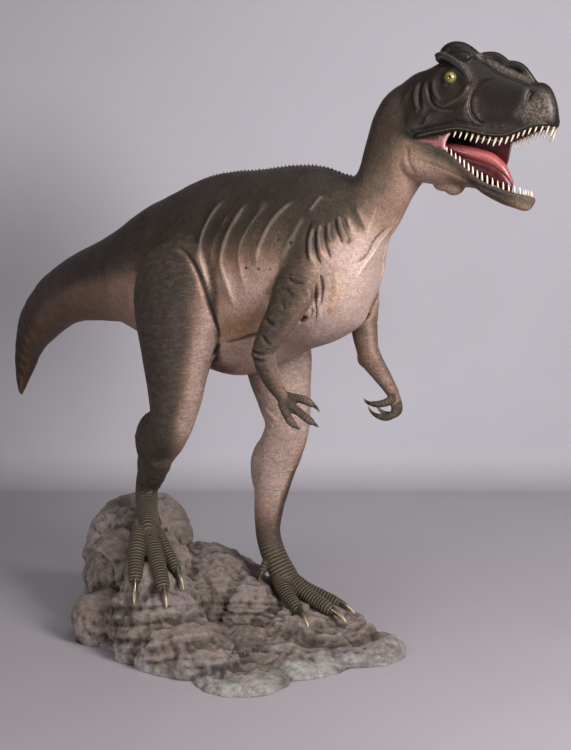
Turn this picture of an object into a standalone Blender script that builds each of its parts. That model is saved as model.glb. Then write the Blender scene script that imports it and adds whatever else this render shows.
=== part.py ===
"""A striding meat-eating dinosaur, a painted fibreglass statue about 2.4 m tall, on its own rock base.

The animal faces +X, its left side is +Y, and the rock base stands on the plane Z = 0. The flesh is
modelled whole from lofts and muscle masses, fused by a voxel remesh, set with teeth and back scutes,
and parted by thin cuts into the pieces that a person would name. Eyes, tongue and claws are pieces
of their own, seated in sockets. All sizes are in metres.
"""

import math
import random

import bmesh
import bpy
import numpy as np

# Clearance that touching pieces keep
GAP = 0.0003

# Fineness of the fused skin and the triangles that are kept of it
FLESH_VOXEL = 0.010
DETAIL_VOXEL = 0.0065
FLESH_TRIANGLES = 5600
ROCK_VOXEL = 0.018
ROCK_TRIANGLES = 1850

# Tail, trunk and neck, from the tail's tip to the skull. Each row has the point of the back (x, z),
# the point of the belly or throat (x, z), the middle's y, the half width, and how much wider the
# section is below than above.
TRUNK = (
    (-2.128, 0.890, -2.118, 0.888, 0.470, 0.006, 0.0),
    (-2.131, 0.925, -2.093, 0.925, 0.455, 0.019, 0.0),
    (-2.096, 1.068, -1.975, 1.062, 0.420, 0.048, 0.0),
    (-2.019, 1.210, -1.863, 1.155, 0.370, 0.068, 0.0),
    (-1.880, 1.375, -1.696, 1.226, 0.300, 0.092, 0.0),
    (-1.642, 1.522, -1.493, 1.295, 0.210, 0.112, 0.0),
    (-1.441, 1.597, -1.329, 1.325, 0.140, 0.125, 0.0),
    (-1.228, 1.659, -1.142, 1.334, 0.075, 0.141, 0.02),
    (-1.026, 1.709, -0.966, 1.334, 0.030, 0.157, 0.04),
    (-0.851, 1.772, -0.858, 1.325, 0.005, 0.178, 0.06),
    (-0.708, 1.843, -0.727, 1.275, 0.000, 0.200, 0.08),
    (-0.540, 1.902, -0.547, 1.205, 0.000, 0.218, 0.10),
    (-0.396, 1.950, -0.401, 1.152, 0.000, 0.232, 0.12),
    (-0.257, 1.966, -0.234, 1.120, 0.000, 0.246, 0.14),
    (-0.117, 1.966, -0.068, 1.160, 0.000, 0.252, 0.16),
    (0.071, 1.972, 0.072, 1.225, 0.000, 0.244, 0.14),
    (0.189, 1.957, 0.225, 1.275, 0.000, 0.222, 0.10),
    (0.282, 1.925, 0.340, 1.340, 0.000, 0.192, 0.06),
    (0.335, 1.912, 0.400, 1.440, 0.000, 0.158, 0.02),
    (0.362, 1.925, 0.432, 1.550, 0.000, 0.130, 0.0),
    (0.382, 1.972, 0.470, 1.645, 0.002, 0.113, 0.0),
    (0.402, 2.060, 0.510, 1.725, 0.004, 0.106, 0.0),
    (0.426, 2.140, 0.548, 1.800, 0.008, 0.104, 0.0),
    (0.470, 2.212, 0.590, 1.862, 0.015, 0.104, 0.0),
    (0.550, 2.255, 0.630, 1.905, 0.025, 0.098, 0.0),
    (0.620, 2.262, 0.665, 1.950, 0.040, 0.085, 0.0),
)
TRUNK_SQUARENESS = (2.15, 2.15)

# A section that is a plain ellipse
ROUND = (2.0, 2.0)

# The head's own frame: u forward, v to its left, w up, from a point inside the back of the skull
HEAD_ORIGIN = (0.560, 0.010, 2.120)
HEAD_YAW = math.radians(12)
HEAD_PITCH = math.radians(10)
HEAD_ROLL = math.radians(-2)

# Skull: u, half width, top and lip line in w
SKULL = (
    (-0.045, 0.050, 0.122, -0.060),
    (0.000, 0.084, 0.156, -0.082),
    (0.050, 0.096, 0.180, -0.086),
    (0.100, 0.100, 0.214, -0.074),
    (0.150, 0.100, 0.234, -0.058),
    (0.200, 0.096, 0.240, -0.042),
    (0.250, 0.089, 0.240, -0.041),
    (0.299, 0.082, 0.234, -0.045),
    (0.349, 0.075, 0.214, -0.045),
    (0.397, 0.069, 0.194, -0.031),
    (0.441, 0.063, 0.172, -0.003),
    (0.470, 0.058, 0.172, 0.012),
    (0.495, 0.053, 0.158, 0.019),
    (0.514, 0.047, 0.132, 0.020),
    (0.530, 0.037, 0.098, 0.020),
    (0.541, 0.024, 0.066, 0.022),
    (0.548, 0.010, 0.048, 0.030),
)
SKULL_SQUARENESS = (2.5, 5.0)

# Lower jaw: u, half width, rim and underside in w
JAW = (
    (-0.020, 0.070, -0.075, -0.215),
    (0.050, 0.088, -0.088, -0.230),
    (0.120, 0.090, -0.098, -0.232),
    (0.160, 0.089, -0.104, -0.232),
    (0.191, 0.086, -0.117, -0.230),
    (0.262, 0.076, -0.163, -0.225),
    (0.300, 0.071, -0.186, -0.228),
    (0.329, 0.066, -0.200, -0.243),
    (0.395, 0.054, -0.217, -0.266),
    (0.447, 0.042, -0.224, -0.276),
    (0.484, 0.030, -0.226, -0.281),
    (0.506, 0.018, -0.228, -0.272),
    (0.518, 0.008, -0.232, -0.245),
)
JAW_SQUARENESS = (5.0, 2.5)

# Inside of the mouth: how far the hollows reach along u, the flesh left beside them, and how far they
# go above and below the lip line and the jaw's rim
PALATE_SPAN = (0.110, 0.500)
PALATE_WALL = 0.020
PALATE_RISE = 0.024
PALATE_DROP = 0.030
TROUGH_SPAN = (0.110, 0.470)
TROUGH_WALL = 0.017
TROUGH_RISE = 0.035
TROUGH_DEPTH_SHARE = 0.60
HOLLOW_LEAST_HALF = 0.006
HOLLOW_STATIONS = 9

# Ridges of the head: points (u, v, w) and radius of the left one. The right one has v turned over
BROW_HORN = (
    (0.098, 0.048, 0.222, 0.020),
    (0.110, 0.048, 0.240, 0.024),
    (0.130, 0.048, 0.250, 0.027),
    (0.158, 0.048, 0.250, 0.028),
    (0.186, 0.048, 0.242, 0.026),
    (0.214, 0.047, 0.230, 0.022),
    (0.236, 0.046, 0.220, 0.018),
)
BROW_EDGE = (
    (0.086, 0.078, 0.205, 0.020),
    (0.106, 0.084, 0.212, 0.018),
    (0.132, 0.087, 0.204, 0.015),
    (0.160, 0.088, 0.190, 0.014),
    (0.185, 0.088, 0.174, 0.012),
    (0.206, 0.087, 0.152, 0.010),
    (0.220, 0.085, 0.130, 0.008),
)
NASAL_RIDGE = (
    (0.240, 0.044, 0.234, 0.016),
    (0.268, 0.045, 0.238, 0.017),
    (0.292, 0.045, 0.237, 0.017),
    (0.315, 0.044, 0.229, 0.015),
    (0.335, 0.043, 0.217, 0.014),
    (0.358, 0.042, 0.217, 0.015),
    (0.380, 0.040, 0.213, 0.014),
    (0.400, 0.036, 0.200, 0.014),
    (0.420, 0.031, 0.180, 0.013),
    (0.440, 0.024, 0.162, 0.012),
)
WATTLE = (0.214, 0.0, -0.2195, 0.045, 0.034, 0.044)

# Eyes
EYE_RADIUS = 0.024
EYE_PLACE = (0.150, 0.084, 0.140)

# Tongue: u, w of its middle, half width, half thickness
TONGUE = (
    (0.100, -0.098, 0.030, 0.014),
    (0.160, -0.098, 0.040, 0.022),
    (0.230, -0.104, 0.045, 0.027),
    (0.300, -0.112, 0.044, 0.028),
    (0.345, -0.122, 0.039, 0.027),
    (0.385, -0.144, 0.031, 0.022),
    (0.412, -0.170, 0.021, 0.014),
    (0.428, -0.190, 0.008, 0.006),
)

# Teeth: along u, with the length of a full-grown one
UPPER_TEETH = 16
UPPER_TEETH_SPAN = (0.206, 0.534)
UPPER_TOOTH_LENGTH = 0.036
LOWER_TEETH = 15
LOWER_TEETH_SPAN = (0.185, 0.500)
LOWER_TOOTH_LENGTH = 0.029
TOOTH_RADIUS = 0.0082
TOOTH_ROOT = 0.014
TOOTH_INSET = 0.013
TOOTH_LEAN = 0.20
TOOTH_LEAST_SHARE = 0.55

# Small scutes in one row along the back
SCUTE_PITCH = 0.033
SCUTE_LENGTH = 0.029
SCUTE_WIDTH = 0.012
SCUTE_HEIGHT = 0.013
SCUTE_ROOT = 0.008
SCUTE_LEAN = 0.006
SCUTES_FROM_TAIL_TIP = 0.10
SCUTES_FROM_NAPE = 0.14

# Legs: centre (x, y, z), half size fore and aft, half size sideways
RIGHT_LEG = (
    (-0.370, -0.140, 1.690, 0.060, 0.060),
    (-0.375, -0.190, 1.600, 0.180, 0.105),
    (-0.385, -0.218, 1.500, 0.208, 0.122),
    (-0.384, -0.232, 1.400, 0.204, 0.124),
    (-0.372, -0.242, 1.250, 0.176, 0.116),
    (-0.368, -0.255, 1.120, 0.142, 0.102),
    (-0.368, -0.268, 1.000, 0.112, 0.090),
    (-0.390, -0.270, 0.915, 0.090, 0.084),
    (-0.456, -0.243, 0.845, 0.086, 0.080),
    (-0.550, -0.195, 0.765, 0.070, 0.064),
    (-0.615, -0.150, 0.690, 0.054, 0.050),
    (-0.645, -0.130, 0.640, 0.054, 0.048),
    (-0.625, -0.158, 0.585, 0.048, 0.050),
    (-0.560, -0.222, 0.527, 0.044, 0.056),
    (-0.490, -0.288, 0.482, 0.042, 0.062),
    (-0.455, -0.318, 0.458, 0.024, 0.040),
)
LEFT_LEG = (
    (-0.365, 0.140, 1.690, 0.060, 0.060),
    (-0.350, 0.190, 1.600, 0.180, 0.105),
    (-0.315, 0.215, 1.500, 0.205, 0.122),
    (-0.262, 0.222, 1.360, 0.195, 0.124),
    (-0.205, 0.218, 1.220, 0.168, 0.116),
    (-0.172, 0.208, 1.100, 0.150, 0.106),
    (-0.148, 0.203, 1.000, 0.124, 0.094),
    (-0.130, 0.200, 0.890, 0.102, 0.084),
    (-0.165, 0.192, 0.780, 0.104, 0.080),
    (-0.190, 0.184, 0.690, 0.094, 0.074),
    (-0.206, 0.177, 0.570, 0.074, 0.062),
    (-0.216, 0.172, 0.460, 0.059, 0.054),
    (-0.205, 0.170, 0.380, 0.056, 0.052),
    (-0.165, 0.170, 0.300, 0.054, 0.058),
    (-0.112, 0.170, 0.225, 0.050, 0.066),
    (-0.070, 0.170, 0.185, 0.030, 0.046),
)
CALVES = (
    (-0.492, -0.238, 0.848, 0.106, 0.070, 0.132),
    (-0.216, 0.190, 0.700, 0.095, 0.070, 0.150),
)

# Toes: points (x, y, z) with the radius at each. The last one carries the claw
TOES = {
    "right_inner": (
        (-0.500, -0.262, 0.486, 0.032),
        (-0.430, -0.290, 0.448, 0.030),
        (-0.365, -0.312, 0.394, 0.027),
        (-0.318, -0.328, 0.350, 0.025),
        (-0.296, -0.336, 0.326, 0.013),
    ),
    "right_middle": (
        (-0.490, -0.295, 0.482, 0.038),
        (-0.420, -0.345, 0.428, 0.036),
        (-0.350, -0.392, 0.362, 0.033),
        (-0.296, -0.430, 0.308, 0.030),
        (-0.274, -0.446, 0.284, 0.015),
    ),
    "right_outer": (
        (-0.515, -0.315, 0.486, 0.036),
        (-0.475, -0.380, 0.434, 0.035),
        (-0.438, -0.430, 0.368, 0.032),
        (-0.412, -0.462, 0.320, 0.028),
        (-0.403, -0.476, 0.296, 0.014),
    ),
    "left_inner": (
        (-0.135, 0.142, 0.232, 0.036),
        (-0.072, 0.105, 0.192, 0.034),
        (-0.014, 0.075, 0.160, 0.030),
        (0.022, 0.058, 0.142, 0.026),
        (0.040, 0.050, 0.132, 0.013),
    ),
    "left_middle": (
        (-0.115, 0.168, 0.230, 0.040),
        (-0.030, 0.165, 0.186, 0.036),
        (0.050, 0.160, 0.156, 0.033),
        (0.112, 0.156, 0.136, 0.030),
        (0.140, 0.154, 0.126, 0.014),
    ),
    "left_outer": (
        (-0.120, 0.196, 0.228, 0.036),
        (-0.050, 0.222, 0.184, 0.033),
        (0.020, 0.246, 0.154, 0.031),
        (0.076, 0.262, 0.134, 0.028),
        (0.100, 0.268, 0.124, 0.014),
    ),
    "right_hind": (
        (-0.610, -0.150, 0.560, 0.026),
        (-0.612, -0.128, 0.520, 0.019),
        (-0.606, -0.118, 0.490, 0.015),
        (-0.602, -0.114, 0.476, 0.008),
    ),
    "left_hind": (
        (-0.178, 0.146, 0.318, 0.026),
        (-0.192, 0.120, 0.288, 0.020),
        (-0.194, 0.104, 0.262, 0.016),
        (-0.192, 0.098, 0.248, 0.009),
    ),
}
TOE_CLAW_LENGTH = 0.078
TOE_CLAW_RADIUS = 0.0185
HIND_CLAW_LENGTH = 0.045
HIND_CLAW_RADIUS = 0.0100
TOE_CLAW_TURN = math.radians(38)
CLAW_STEPS = 6
CLAW_ROOT = 0.02
CLAW_TAPER = 0.75

# Arms: centre (x, y, z), half size fore and aft, half size sideways
RIGHT_ARM = (
    (0.235, -0.110, 1.600, 0.050, 0.050),
    (0.220, -0.175, 1.545, 0.086, 0.068),
    (0.202, -0.220, 1.480, 0.086, 0.064),
    (0.172, -0.250, 1.400, 0.075, 0.054),
    (0.126, -0.271, 1.310, 0.060, 0.045),
    (0.092, -0.274, 1.250, 0.047, 0.043),
    (0.094, -0.266, 1.190, 0.044, 0.040),
    (0.112, -0.250, 1.130, 0.035, 0.034),
    (0.133, -0.232, 1.084, 0.027, 0.030),
    (0.158, -0.218, 1.052, 0.022, 0.033),
    (0.176, -0.210, 1.034, 0.014, 0.024),
)
LEFT_ARM = (
    (0.260, 0.095, 1.540, 0.050, 0.050),
    (0.262, 0.150, 1.490, 0.076, 0.066),
    (0.256, 0.182, 1.420, 0.068, 0.060),
    (0.252, 0.202, 1.330, 0.056, 0.052),
    (0.256, 0.216, 1.250, 0.050, 0.046),
    (0.270, 0.222, 1.200, 0.046, 0.043),
    (0.315, 0.214, 1.148, 0.040, 0.038),
    (0.355, 0.206, 1.105, 0.032, 0.033),
    (0.390, 0.198, 1.062, 0.026, 0.028),
    (0.408, 0.192, 1.030, 0.022, 0.032),
    (0.412, 0.188, 1.008, 0.014, 0.024),
)
ELBOWS = ((0.078, -0.272, 1.235, 0.042), (0.252, 0.226, 1.198, 0.042))
SHOULDERS = (
    (0.205, -0.150, 1.560, 0.115, 0.075, 0.120),
    (0.250, 0.125, 1.520, 0.110, 0.070, 0.120),
)

# Fingers: points (x, y, z) with the radius at each
FINGERS = {
    "right_first": (
        (0.150, -0.214, 1.068, 0.020),
        (0.195, -0.205, 1.064, 0.017),
        (0.230, -0.198, 1.056, 0.016),
        (0.248, -0.186, 1.044, 0.014),
        (0.250, -0.170, 1.036, 0.008),
    ),
    "right_second": (
        (0.156, -0.226, 1.052, 0.020),
        (0.205, -0.224, 1.022, 0.017),
        (0.246, -0.218, 0.994, 0.016),
        (0.262, -0.204, 0.978, 0.014),
        (0.260, -0.187, 0.970, 0.008),
    ),
    "right_third": (
        (0.148, -0.234, 1.044, 0.019),
        (0.172, -0.246, 1.010, 0.016),
        (0.194, -0.246, 0.980, 0.015),
        (0.202, -0.232, 0.964, 0.013),
        (0.199, -0.216, 0.957, 0.008),
    ),
    "left_first": (
        (0.402, 0.172, 1.040, 0.019),
        (0.380, 0.150, 1.026, 0.016),
        (0.350, 0.142, 1.020, 0.014),
        (0.328, 0.142, 1.020, 0.012),
        (0.318, 0.144, 1.022, 0.007),
    ),
    "left_second": (
        (0.412, 0.186, 1.020, 0.020),
        (0.410, 0.176, 0.986, 0.017),
        (0.380, 0.170, 0.966, 0.015),
        (0.348, 0.166, 0.968, 0.013),
        (0.338, 0.165, 0.972, 0.007),
    ),
    "left_third": (
        (0.408, 0.206, 1.022, 0.019),
        (0.408, 0.214, 0.992, 0.016),
        (0.386, 0.214, 0.972, 0.014),
        (0.362, 0.210, 0.974, 0.012),
        (0.353, 0.208, 0.978, 0.007),
    ),
}
FINGER_CLAW_LENGTH = 0.050
FINGER_CLAW_RADIUS = 0.0095
FINGER_CLAW_TURN = math.radians(60)

# Room around the limb that a thigh or upper arm takes from the body: fore and aft, and sideways
LIMB_ROOM = (0.022, 0.030)
THIGH_CREASE_HEIGHT = 1.12
THIGH_CREASE_RUN = 0.38
THIGH_SHIFT = (0.012, 0.060)
THIGH_TOP = (0.020, 0.100, 0.060, 0.040)
ARM_SHIFT = 0.030
ARM_TOP = (0.010, 0.070, 0.030, 0.030)

# Thin cuts across the head, in its own frame: place (u, v, w), how far the cut's face looks forward and
# up, and half sizes
HEAD_CUTS = (
    ((0.035, 0.0, -0.068), (0.975, 0.22), (0.16, 0.26)),
    ((0.060, 0.0, -0.084), (-0.03, 1.0), (0.16, 0.086)),
)

# Thin cuts across the neck's foot, the tail, the ankles and the wrists: place, normal and half sizes
BODY_CUTS = (
    ((0.410, 0.0, 1.745), (0.935, 0.0, 0.354), (0.22, 0.24)),
    ((-0.800, 0.002, 1.555), (1.0, -0.12, 0.10), (0.28, 0.40)),
    ((-1.270, 0.100, 1.480), (0.90, -0.28, 0.20), (0.22, 0.30)),
    ((-1.740, 0.270, 1.335), (0.78, -0.33, 0.45), (0.20, 0.24)),
    ((-0.618, -0.150, 0.688), (0.72, -0.45, 0.55), (0.085, 0.085)),
    ((-0.222, 0.172, 0.470), (0.05, 0.0, 1.0), (0.10, 0.10)),
    ((0.136, -0.230, 1.080), (-0.42, -0.25, 0.87), (0.055, 0.055)),
    ((0.384, 0.199, 1.070), (-0.62, 0.10, 0.77), (0.055, 0.055)),
)

# Where the middle of each parted piece lies, which tells it its name
MIDDLES = {
    "torso": (-0.10, 0.0, 1.60),
    "neck": (0.48, 0.0, 1.93),
    "tail_base": (-1.03, 0.03, 1.52),
    "tail_middle": (-1.52, 0.19, 1.42),
    "tail_tip": (-1.95, 0.37, 1.18),
    "shin_right": (-0.48, -0.24, 0.82),
    "shin_left": (-0.18, 0.19, 0.68),
    "foot_right": (-0.46, -0.30, 0.44),
    "foot_left": (-0.05, 0.17, 0.22),
    "forearm_right": (0.10, -0.26, 1.16),
    "forearm_left": (0.33, 0.21, 1.13),
    "hand_right": (0.20, -0.22, 1.02),
    "hand_left": (0.38, 0.18, 1.00),
}
HEAD_MIDDLE = (0.25, 0.0, 0.10)
LOWER_JAW_MIDDLE = (0.25, 0.0, -0.19)

# Rock base: masses as centre (x, y, z) and half sizes (x, y, z)
ROCKS = (
    (-0.845, -0.020, 0.220, 0.200, 0.235, 0.335),
    (-0.720, 0.000, 0.240, 0.190, 0.190, 0.320),
    (-0.740, -0.180, 0.150, 0.200, 0.180, 0.300),
    (-0.560, -0.140, 0.150, 0.190, 0.180, 0.290),
    (-0.480, -0.270, 0.120, 0.150, 0.150, 0.320),
    (-0.420, -0.330, 0.090, 0.190, 0.200, 0.300),
    (-0.360, -0.370, 0.050, 0.210, 0.190, 0.260),
    (-0.250, -0.400, 0.030, 0.220, 0.180, 0.170),
    (-0.690, -0.370, 0.050, 0.140, 0.120, 0.165),
    (-0.400, -0.020, 0.120, 0.180, 0.180, 0.200),
    (-0.250, 0.040, 0.090, 0.170, 0.170, 0.160),
    (-0.060, 0.160, 0.040, 0.280, 0.230, 0.115),
    (0.080, 0.160, 0.030, 0.240, 0.210, 0.080),
    (-0.110, -0.420, 0.040, 0.190, 0.150, 0.095),
    (0.090, -0.420, 0.000, 0.190, 0.190, 0.055),
    (0.260, 0.110, 0.000, 0.220, 0.230, 0.060),
    (-0.560, 0.150, 0.080, 0.360, 0.250, 0.240),
    (-0.260, -0.050, 0.000, 0.640, 0.480, 0.085),
    (-0.215, 0.150, 0.085, 0.115, 0.110, 0.135),
)


def unit(vector):
    """The vector at length one."""
    return np.asarray(vector, float) / np.linalg.norm(vector)


def head_axes():
    """The head's forward, left and up directions in the world."""
    forward = np.array(
        (
            math.cos(HEAD_PITCH) * math.cos(HEAD_YAW),
            math.cos(HEAD_PITCH) * math.sin(HEAD_YAW),
            -math.sin(HEAD_PITCH),
        )
    )
    level = np.array((-math.sin(HEAD_YAW), math.cos(HEAD_YAW), 0.0))
    upright = np.cross(forward, level)
    left = level * math.cos(HEAD_ROLL) + upright * math.sin(HEAD_ROLL)
    up = upright * math.cos(HEAD_ROLL) - level * math.sin(HEAD_ROLL)
    return forward, left, up


HEAD_FORWARD, HEAD_LEFT, HEAD_UP = head_axes()


def from_head(u, v, w):
    """The world place of a point given in the head's own frame."""
    return np.array(HEAD_ORIGIN) + u * HEAD_FORWARD + v * HEAD_LEFT + w * HEAD_UP


def smooth_rows(rows, steps):
    """Rows of numbers read off a Catmull-Rom curve through the given rows."""
    rows = np.asarray(rows, float)
    padded = np.vstack([2 * rows[0] - rows[1], rows, 2 * rows[-1] - rows[-2]])
    out = []
    for i in range(len(rows) - 1):
        p0, p1, p2, p3 = padded[i : i + 4]
        for k in range(steps):
            t = k / steps
            out.append(
                0.5
                * (
                    2 * p1
                    + (p2 - p0) * t
                    + (2 * p0 - 5 * p1 + 4 * p2 - p3) * t**2
                    + (3 * p1 - p0 - 3 * p2 + p3) * t**3
                )
            )
    out.append(rows[-1])
    return np.array(out)


class Clay:
    """Closed shapes gathered as points and faces, to be fused later into one skin."""

    def __init__(self):
        self.points = []
        self.faces = []

    def add(self, points, faces):
        """Takes in one closed shape."""
        start = len(self.points)
        self.points.extend(map(tuple, points))
        self.faces.extend(tuple(start + i for i in face) for face in faces)

    def rings(self, rings):
        """Takes in a shape skinned over rings of points, each with as many as the last.

        Its sides are triangles, split the same way in a form and in that form grown by a gap.
        """
        count = len(rings[0])
        points = [p for ring in rings for p in ring]
        faces = []
        for r in range(len(rings) - 1):
            for i in range(count):
                j = (i + 1) % count
                low = r * count
                high = low + count
                faces.append((low + i, low + j, high + j))
                faces.append((low + i, high + j, high + i))
        faces.append(tuple(reversed(range(count))))
        last = (len(rings) - 1) * count
        faces.append(tuple(last + i for i in range(count)))
        self.add(points, faces)

    def sections(self, centres, sides, ups, eggs, squareness, around):
        """Takes in a loft: each section is an ellipse, squared above and below, and wider below by its egg."""
        angles = np.arange(around) * 2 * math.pi / around
        power = 2 / np.where(np.sin(angles) > 0, squareness[0], squareness[1])
        across = np.sign(np.cos(angles)) * np.abs(np.cos(angles)) ** power
        along = np.sign(np.sin(angles)) * np.abs(np.sin(angles)) ** power
        rings = []
        for centre, side, up, egg in zip(centres, sides, ups, eggs):
            wide = across * (1 - egg * along)
            rings.append(centre + np.outer(wide, side) + np.outer(along, up))
        self.rings(rings)

    def limb(self, rows, hint, steps=4, around=20, grow=0.0):
        """Takes in a limb: rows of centre, half size along the hint's direction, and half size across."""
        rows = smooth_rows(rows, steps)
        rows[:, 3:5] += grow
        centres = rows[:, :3]
        tangents = np.gradient(centres, axis=0)
        firsts = []
        seconds = []
        for row, tangent in zip(rows, tangents):
            tangent = unit(tangent)
            first = unit(np.asarray(hint, float) - tangent * np.dot(hint, tangent))
            firsts.append(first * row[3])
            seconds.append(np.cross(tangent, first) * row[4])
        self.sections(centres, firsts, seconds, [0.0] * len(rows), ROUND, around)

    def tube(self, rows, steps=3, around=12, grow=0.0):
        """Takes in a round tube: rows of point and radius."""
        wide = [(*row, row[3]) for row in rows]
        self.limb(wide, (0.0, 0.13, 0.99), steps, around, grow)

    def ball(self, centre, radii, rings=10, around=16):
        """Takes in an ellipsoid whose axes are the world's."""
        loops = []
        for r in range(1, rings):
            angle = math.pi * r / rings
            height = -math.cos(angle)
            loops.append(
                [
                    (
                        centre[0] + radii[0] * math.sin(angle) * math.cos(turn),
                        centre[1] + radii[1] * math.sin(angle) * math.sin(turn),
                        centre[2] + radii[2] * height,
                    )
                    for turn in (2 * math.pi * i / around for i in range(around))
                ]
            )
        self.rings(loops)

    def made(self, name):
        """The gathered shapes as one mesh object, each facing out."""
        mesh = bpy.data.meshes.new(name)
        mesh.from_pydata(self.points, [], self.faces)
        shape = bmesh.new()
        shape.from_mesh(mesh)
        bmesh.ops.recalc_face_normals(shape, faces=shape.faces)
        shape.to_mesh(mesh)
        shape.free()
        made = bpy.data.objects.new(name, mesh)
        bpy.context.collection.objects.link(made)
        return made


def apply_modifiers(target):
    """Makes the object's mesh what its modifiers give."""
    bpy.context.view_layer.update()
    graph = bpy.context.evaluated_depsgraph_get()
    mesh = bpy.data.meshes.new_from_object(target.evaluated_get(graph))
    target.modifiers.clear()
    old = target.data
    target.data = mesh
    bpy.data.meshes.remove(old)


def fuse(clay, name, voxel, smoothing):
    """The clay's shapes fused into one skin."""
    target = clay.made(name)
    remesh = target.modifiers.new("Fuse", "REMESH")
    remesh.mode = "VOXEL"
    remesh.voxel_size = voxel
    remesh.use_smooth_shade = False
    soften = target.modifiers.new("Soften", "SMOOTH")
    soften.factor = 0.5
    soften.iterations = smoothing
    apply_modifiers(target)
    return target


def thin_out(target, triangles):
    """Keeps about so many triangles."""
    shape = bmesh.new()
    shape.from_mesh(target.data)
    bmesh.ops.triangulate(shape, faces=shape.faces)
    shape.to_mesh(target.data)
    shape.free()
    ratio = triangles / len(target.data.polygons)
    thin = target.modifiers.new("Thin out", "DECIMATE")
    thin.ratio = min(ratio, 1.0)
    apply_modifiers(target)


def points_of(target):
    """The object's vertices as an array."""
    flat = np.empty(len(target.data.vertices) * 3)
    target.data.vertices.foreach_get("co", flat)
    return flat.reshape(-1, 3)


def boolean(target, cutters, operation):
    """One Boolean of the target with all the cutters, which are removed afterwards."""
    tools = bpy.data.collections.new("Tools")
    for cutter in cutters:
        tools.objects.link(cutter)
    change = target.modifiers.new("Change", "BOOLEAN")
    change.operation = operation
    change.operand_type = "COLLECTION"
    change.collection = tools
    change.solver = "MANIFOLD"
    bpy.context.scene.collection.children.link(tools)
    apply_modifiers(target)
    for cutter in cutters:
        bpy.data.objects.remove(cutter)
    bpy.data.collections.remove(tools)


def copy_of(source, name):
    """A second object with its own copy of the mesh."""
    copy = source.copy()
    copy.data = source.data.copy()
    copy.name = name
    bpy.context.collection.objects.link(copy)
    return copy


def islands(target):
    """The separate closed surfaces of a mesh, as (points, faces), the largest first."""
    shape = bmesh.new()
    shape.from_mesh(target.data)
    shape.faces.ensure_lookup_table()
    seen = set()
    found = []
    for start in shape.faces:
        if start.index in seen:
            continue
        seen.add(start.index)
        waiting = [start]
        faces = []
        while waiting:
            face = waiting.pop()
            faces.append(face)
            for edge in face.edges:
                for other in edge.link_faces:
                    if other.index not in seen:
                        seen.add(other.index)
                        waiting.append(other)
        index = {}
        points = []
        rows = []
        for face in faces:
            row = []
            for vert in face.verts:
                if vert.index not in index:
                    index[vert.index] = len(points)
                    points.append(tuple(vert.co))
                row.append(index[vert.index])
            rows.append(tuple(row))
        found.append((np.array(points), rows))
    shape.free()
    found.sort(key=lambda island: -np.prod(np.ptp(island[0], axis=0)))
    return found


def mesh_object(name, points, faces):
    """An object from points and faces."""
    mesh = bpy.data.meshes.new(name)
    mesh.from_pydata([tuple(p) for p in points], [], faces)
    made = bpy.data.objects.new(name, mesh)
    bpy.context.collection.objects.link(made)
    return made


def material(name, colour, roughness, metallic=0.0):
    """A plain paint."""
    made = bpy.data.materials.new(name)
    made.use_nodes = True
    shader = made.node_tree.nodes["Principled BSDF"]
    shader.inputs["Base Color"].default_value = (*colour, 1.0)
    shader.inputs["Roughness"].default_value = roughness
    shader.inputs["Metallic"].default_value = metallic
    return made


def paint(target, coat):
    """Gives the object one material."""
    target.data.materials.clear()
    target.data.materials.append(coat)


def slab(point, normal, half_sizes, hint=(0.0, 1.0, 0.0)):
    """A thin box, GAP thick, that parts the flesh at the point, across the normal."""
    normal = unit(normal)
    first = unit(np.asarray(hint, float) - normal * np.dot(hint, normal))
    second = np.cross(normal, first)
    clay = Clay()
    rings = []
    for depth in (-GAP / 2, GAP / 2):
        ring = []
        for a, b in ((-1, -1), (1, -1), (1, 1), (-1, 1)):
            corner = np.array(point) + normal * depth
            ring.append(corner + first * a * half_sizes[0] + second * b * half_sizes[1])
        rings.append(ring)
    clay.rings(rings)
    return clay.made("Cut")


def trunk_rows(steps=5):
    """Stations of the trunk, closer together than TRUNK gives them."""
    return smooth_rows(TRUNK, steps)


def add_trunk(clay):
    """The tail, trunk and neck as one loft."""
    rows = trunk_rows()
    back = np.stack([rows[:, 0], rows[:, 4], rows[:, 1]], axis=1)
    belly = np.stack([rows[:, 2], rows[:, 4], rows[:, 3]], axis=1)
    centres = (back + belly) / 2
    tangents = np.gradient(centres, axis=0)
    sides = []
    for row, tangent in zip(rows, tangents):
        level = unit((-tangent[1], abs(tangent[0]) + 0.2 * abs(tangent[2]), 0.0))
        if tangent[0] > 0:
            level = unit((-tangent[1] * 0.5, 1.0, 0.0))
        sides.append(level * row[5])
    clay.sections(centres, sides, (back - belly) / 2, rows[:, 6], TRUNK_SQUARENESS, 40)


def add_head_loft(clay, rows, squareness, steps=4, around=28):
    """A loft along the head's forward axis: rows of u, half width, upper and lower w."""
    rows = smooth_rows(rows, steps)
    centres = [from_head(u, 0.0, (top + low) / 2) for u, half, top, low in rows]
    sides = [HEAD_LEFT * half for u, half, top, low in rows]
    ups = [HEAD_UP * (top - low) / 2 for u, half, top, low in rows]
    clay.sections(centres, sides, ups, [0.0] * len(rows), squareness, around)


def add_ridges(clay):
    """The horns, the edges over the eyes and the ridges along the snout, both sides."""
    for ridge in (BROW_HORN, BROW_EDGE, NASAL_RIDGE):
        for side in (-1, 1):
            rows = [(*from_head(u, side * v, w), radius) for u, v, w, radius in ridge]
            clay.tube(rows, around=10)


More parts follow.
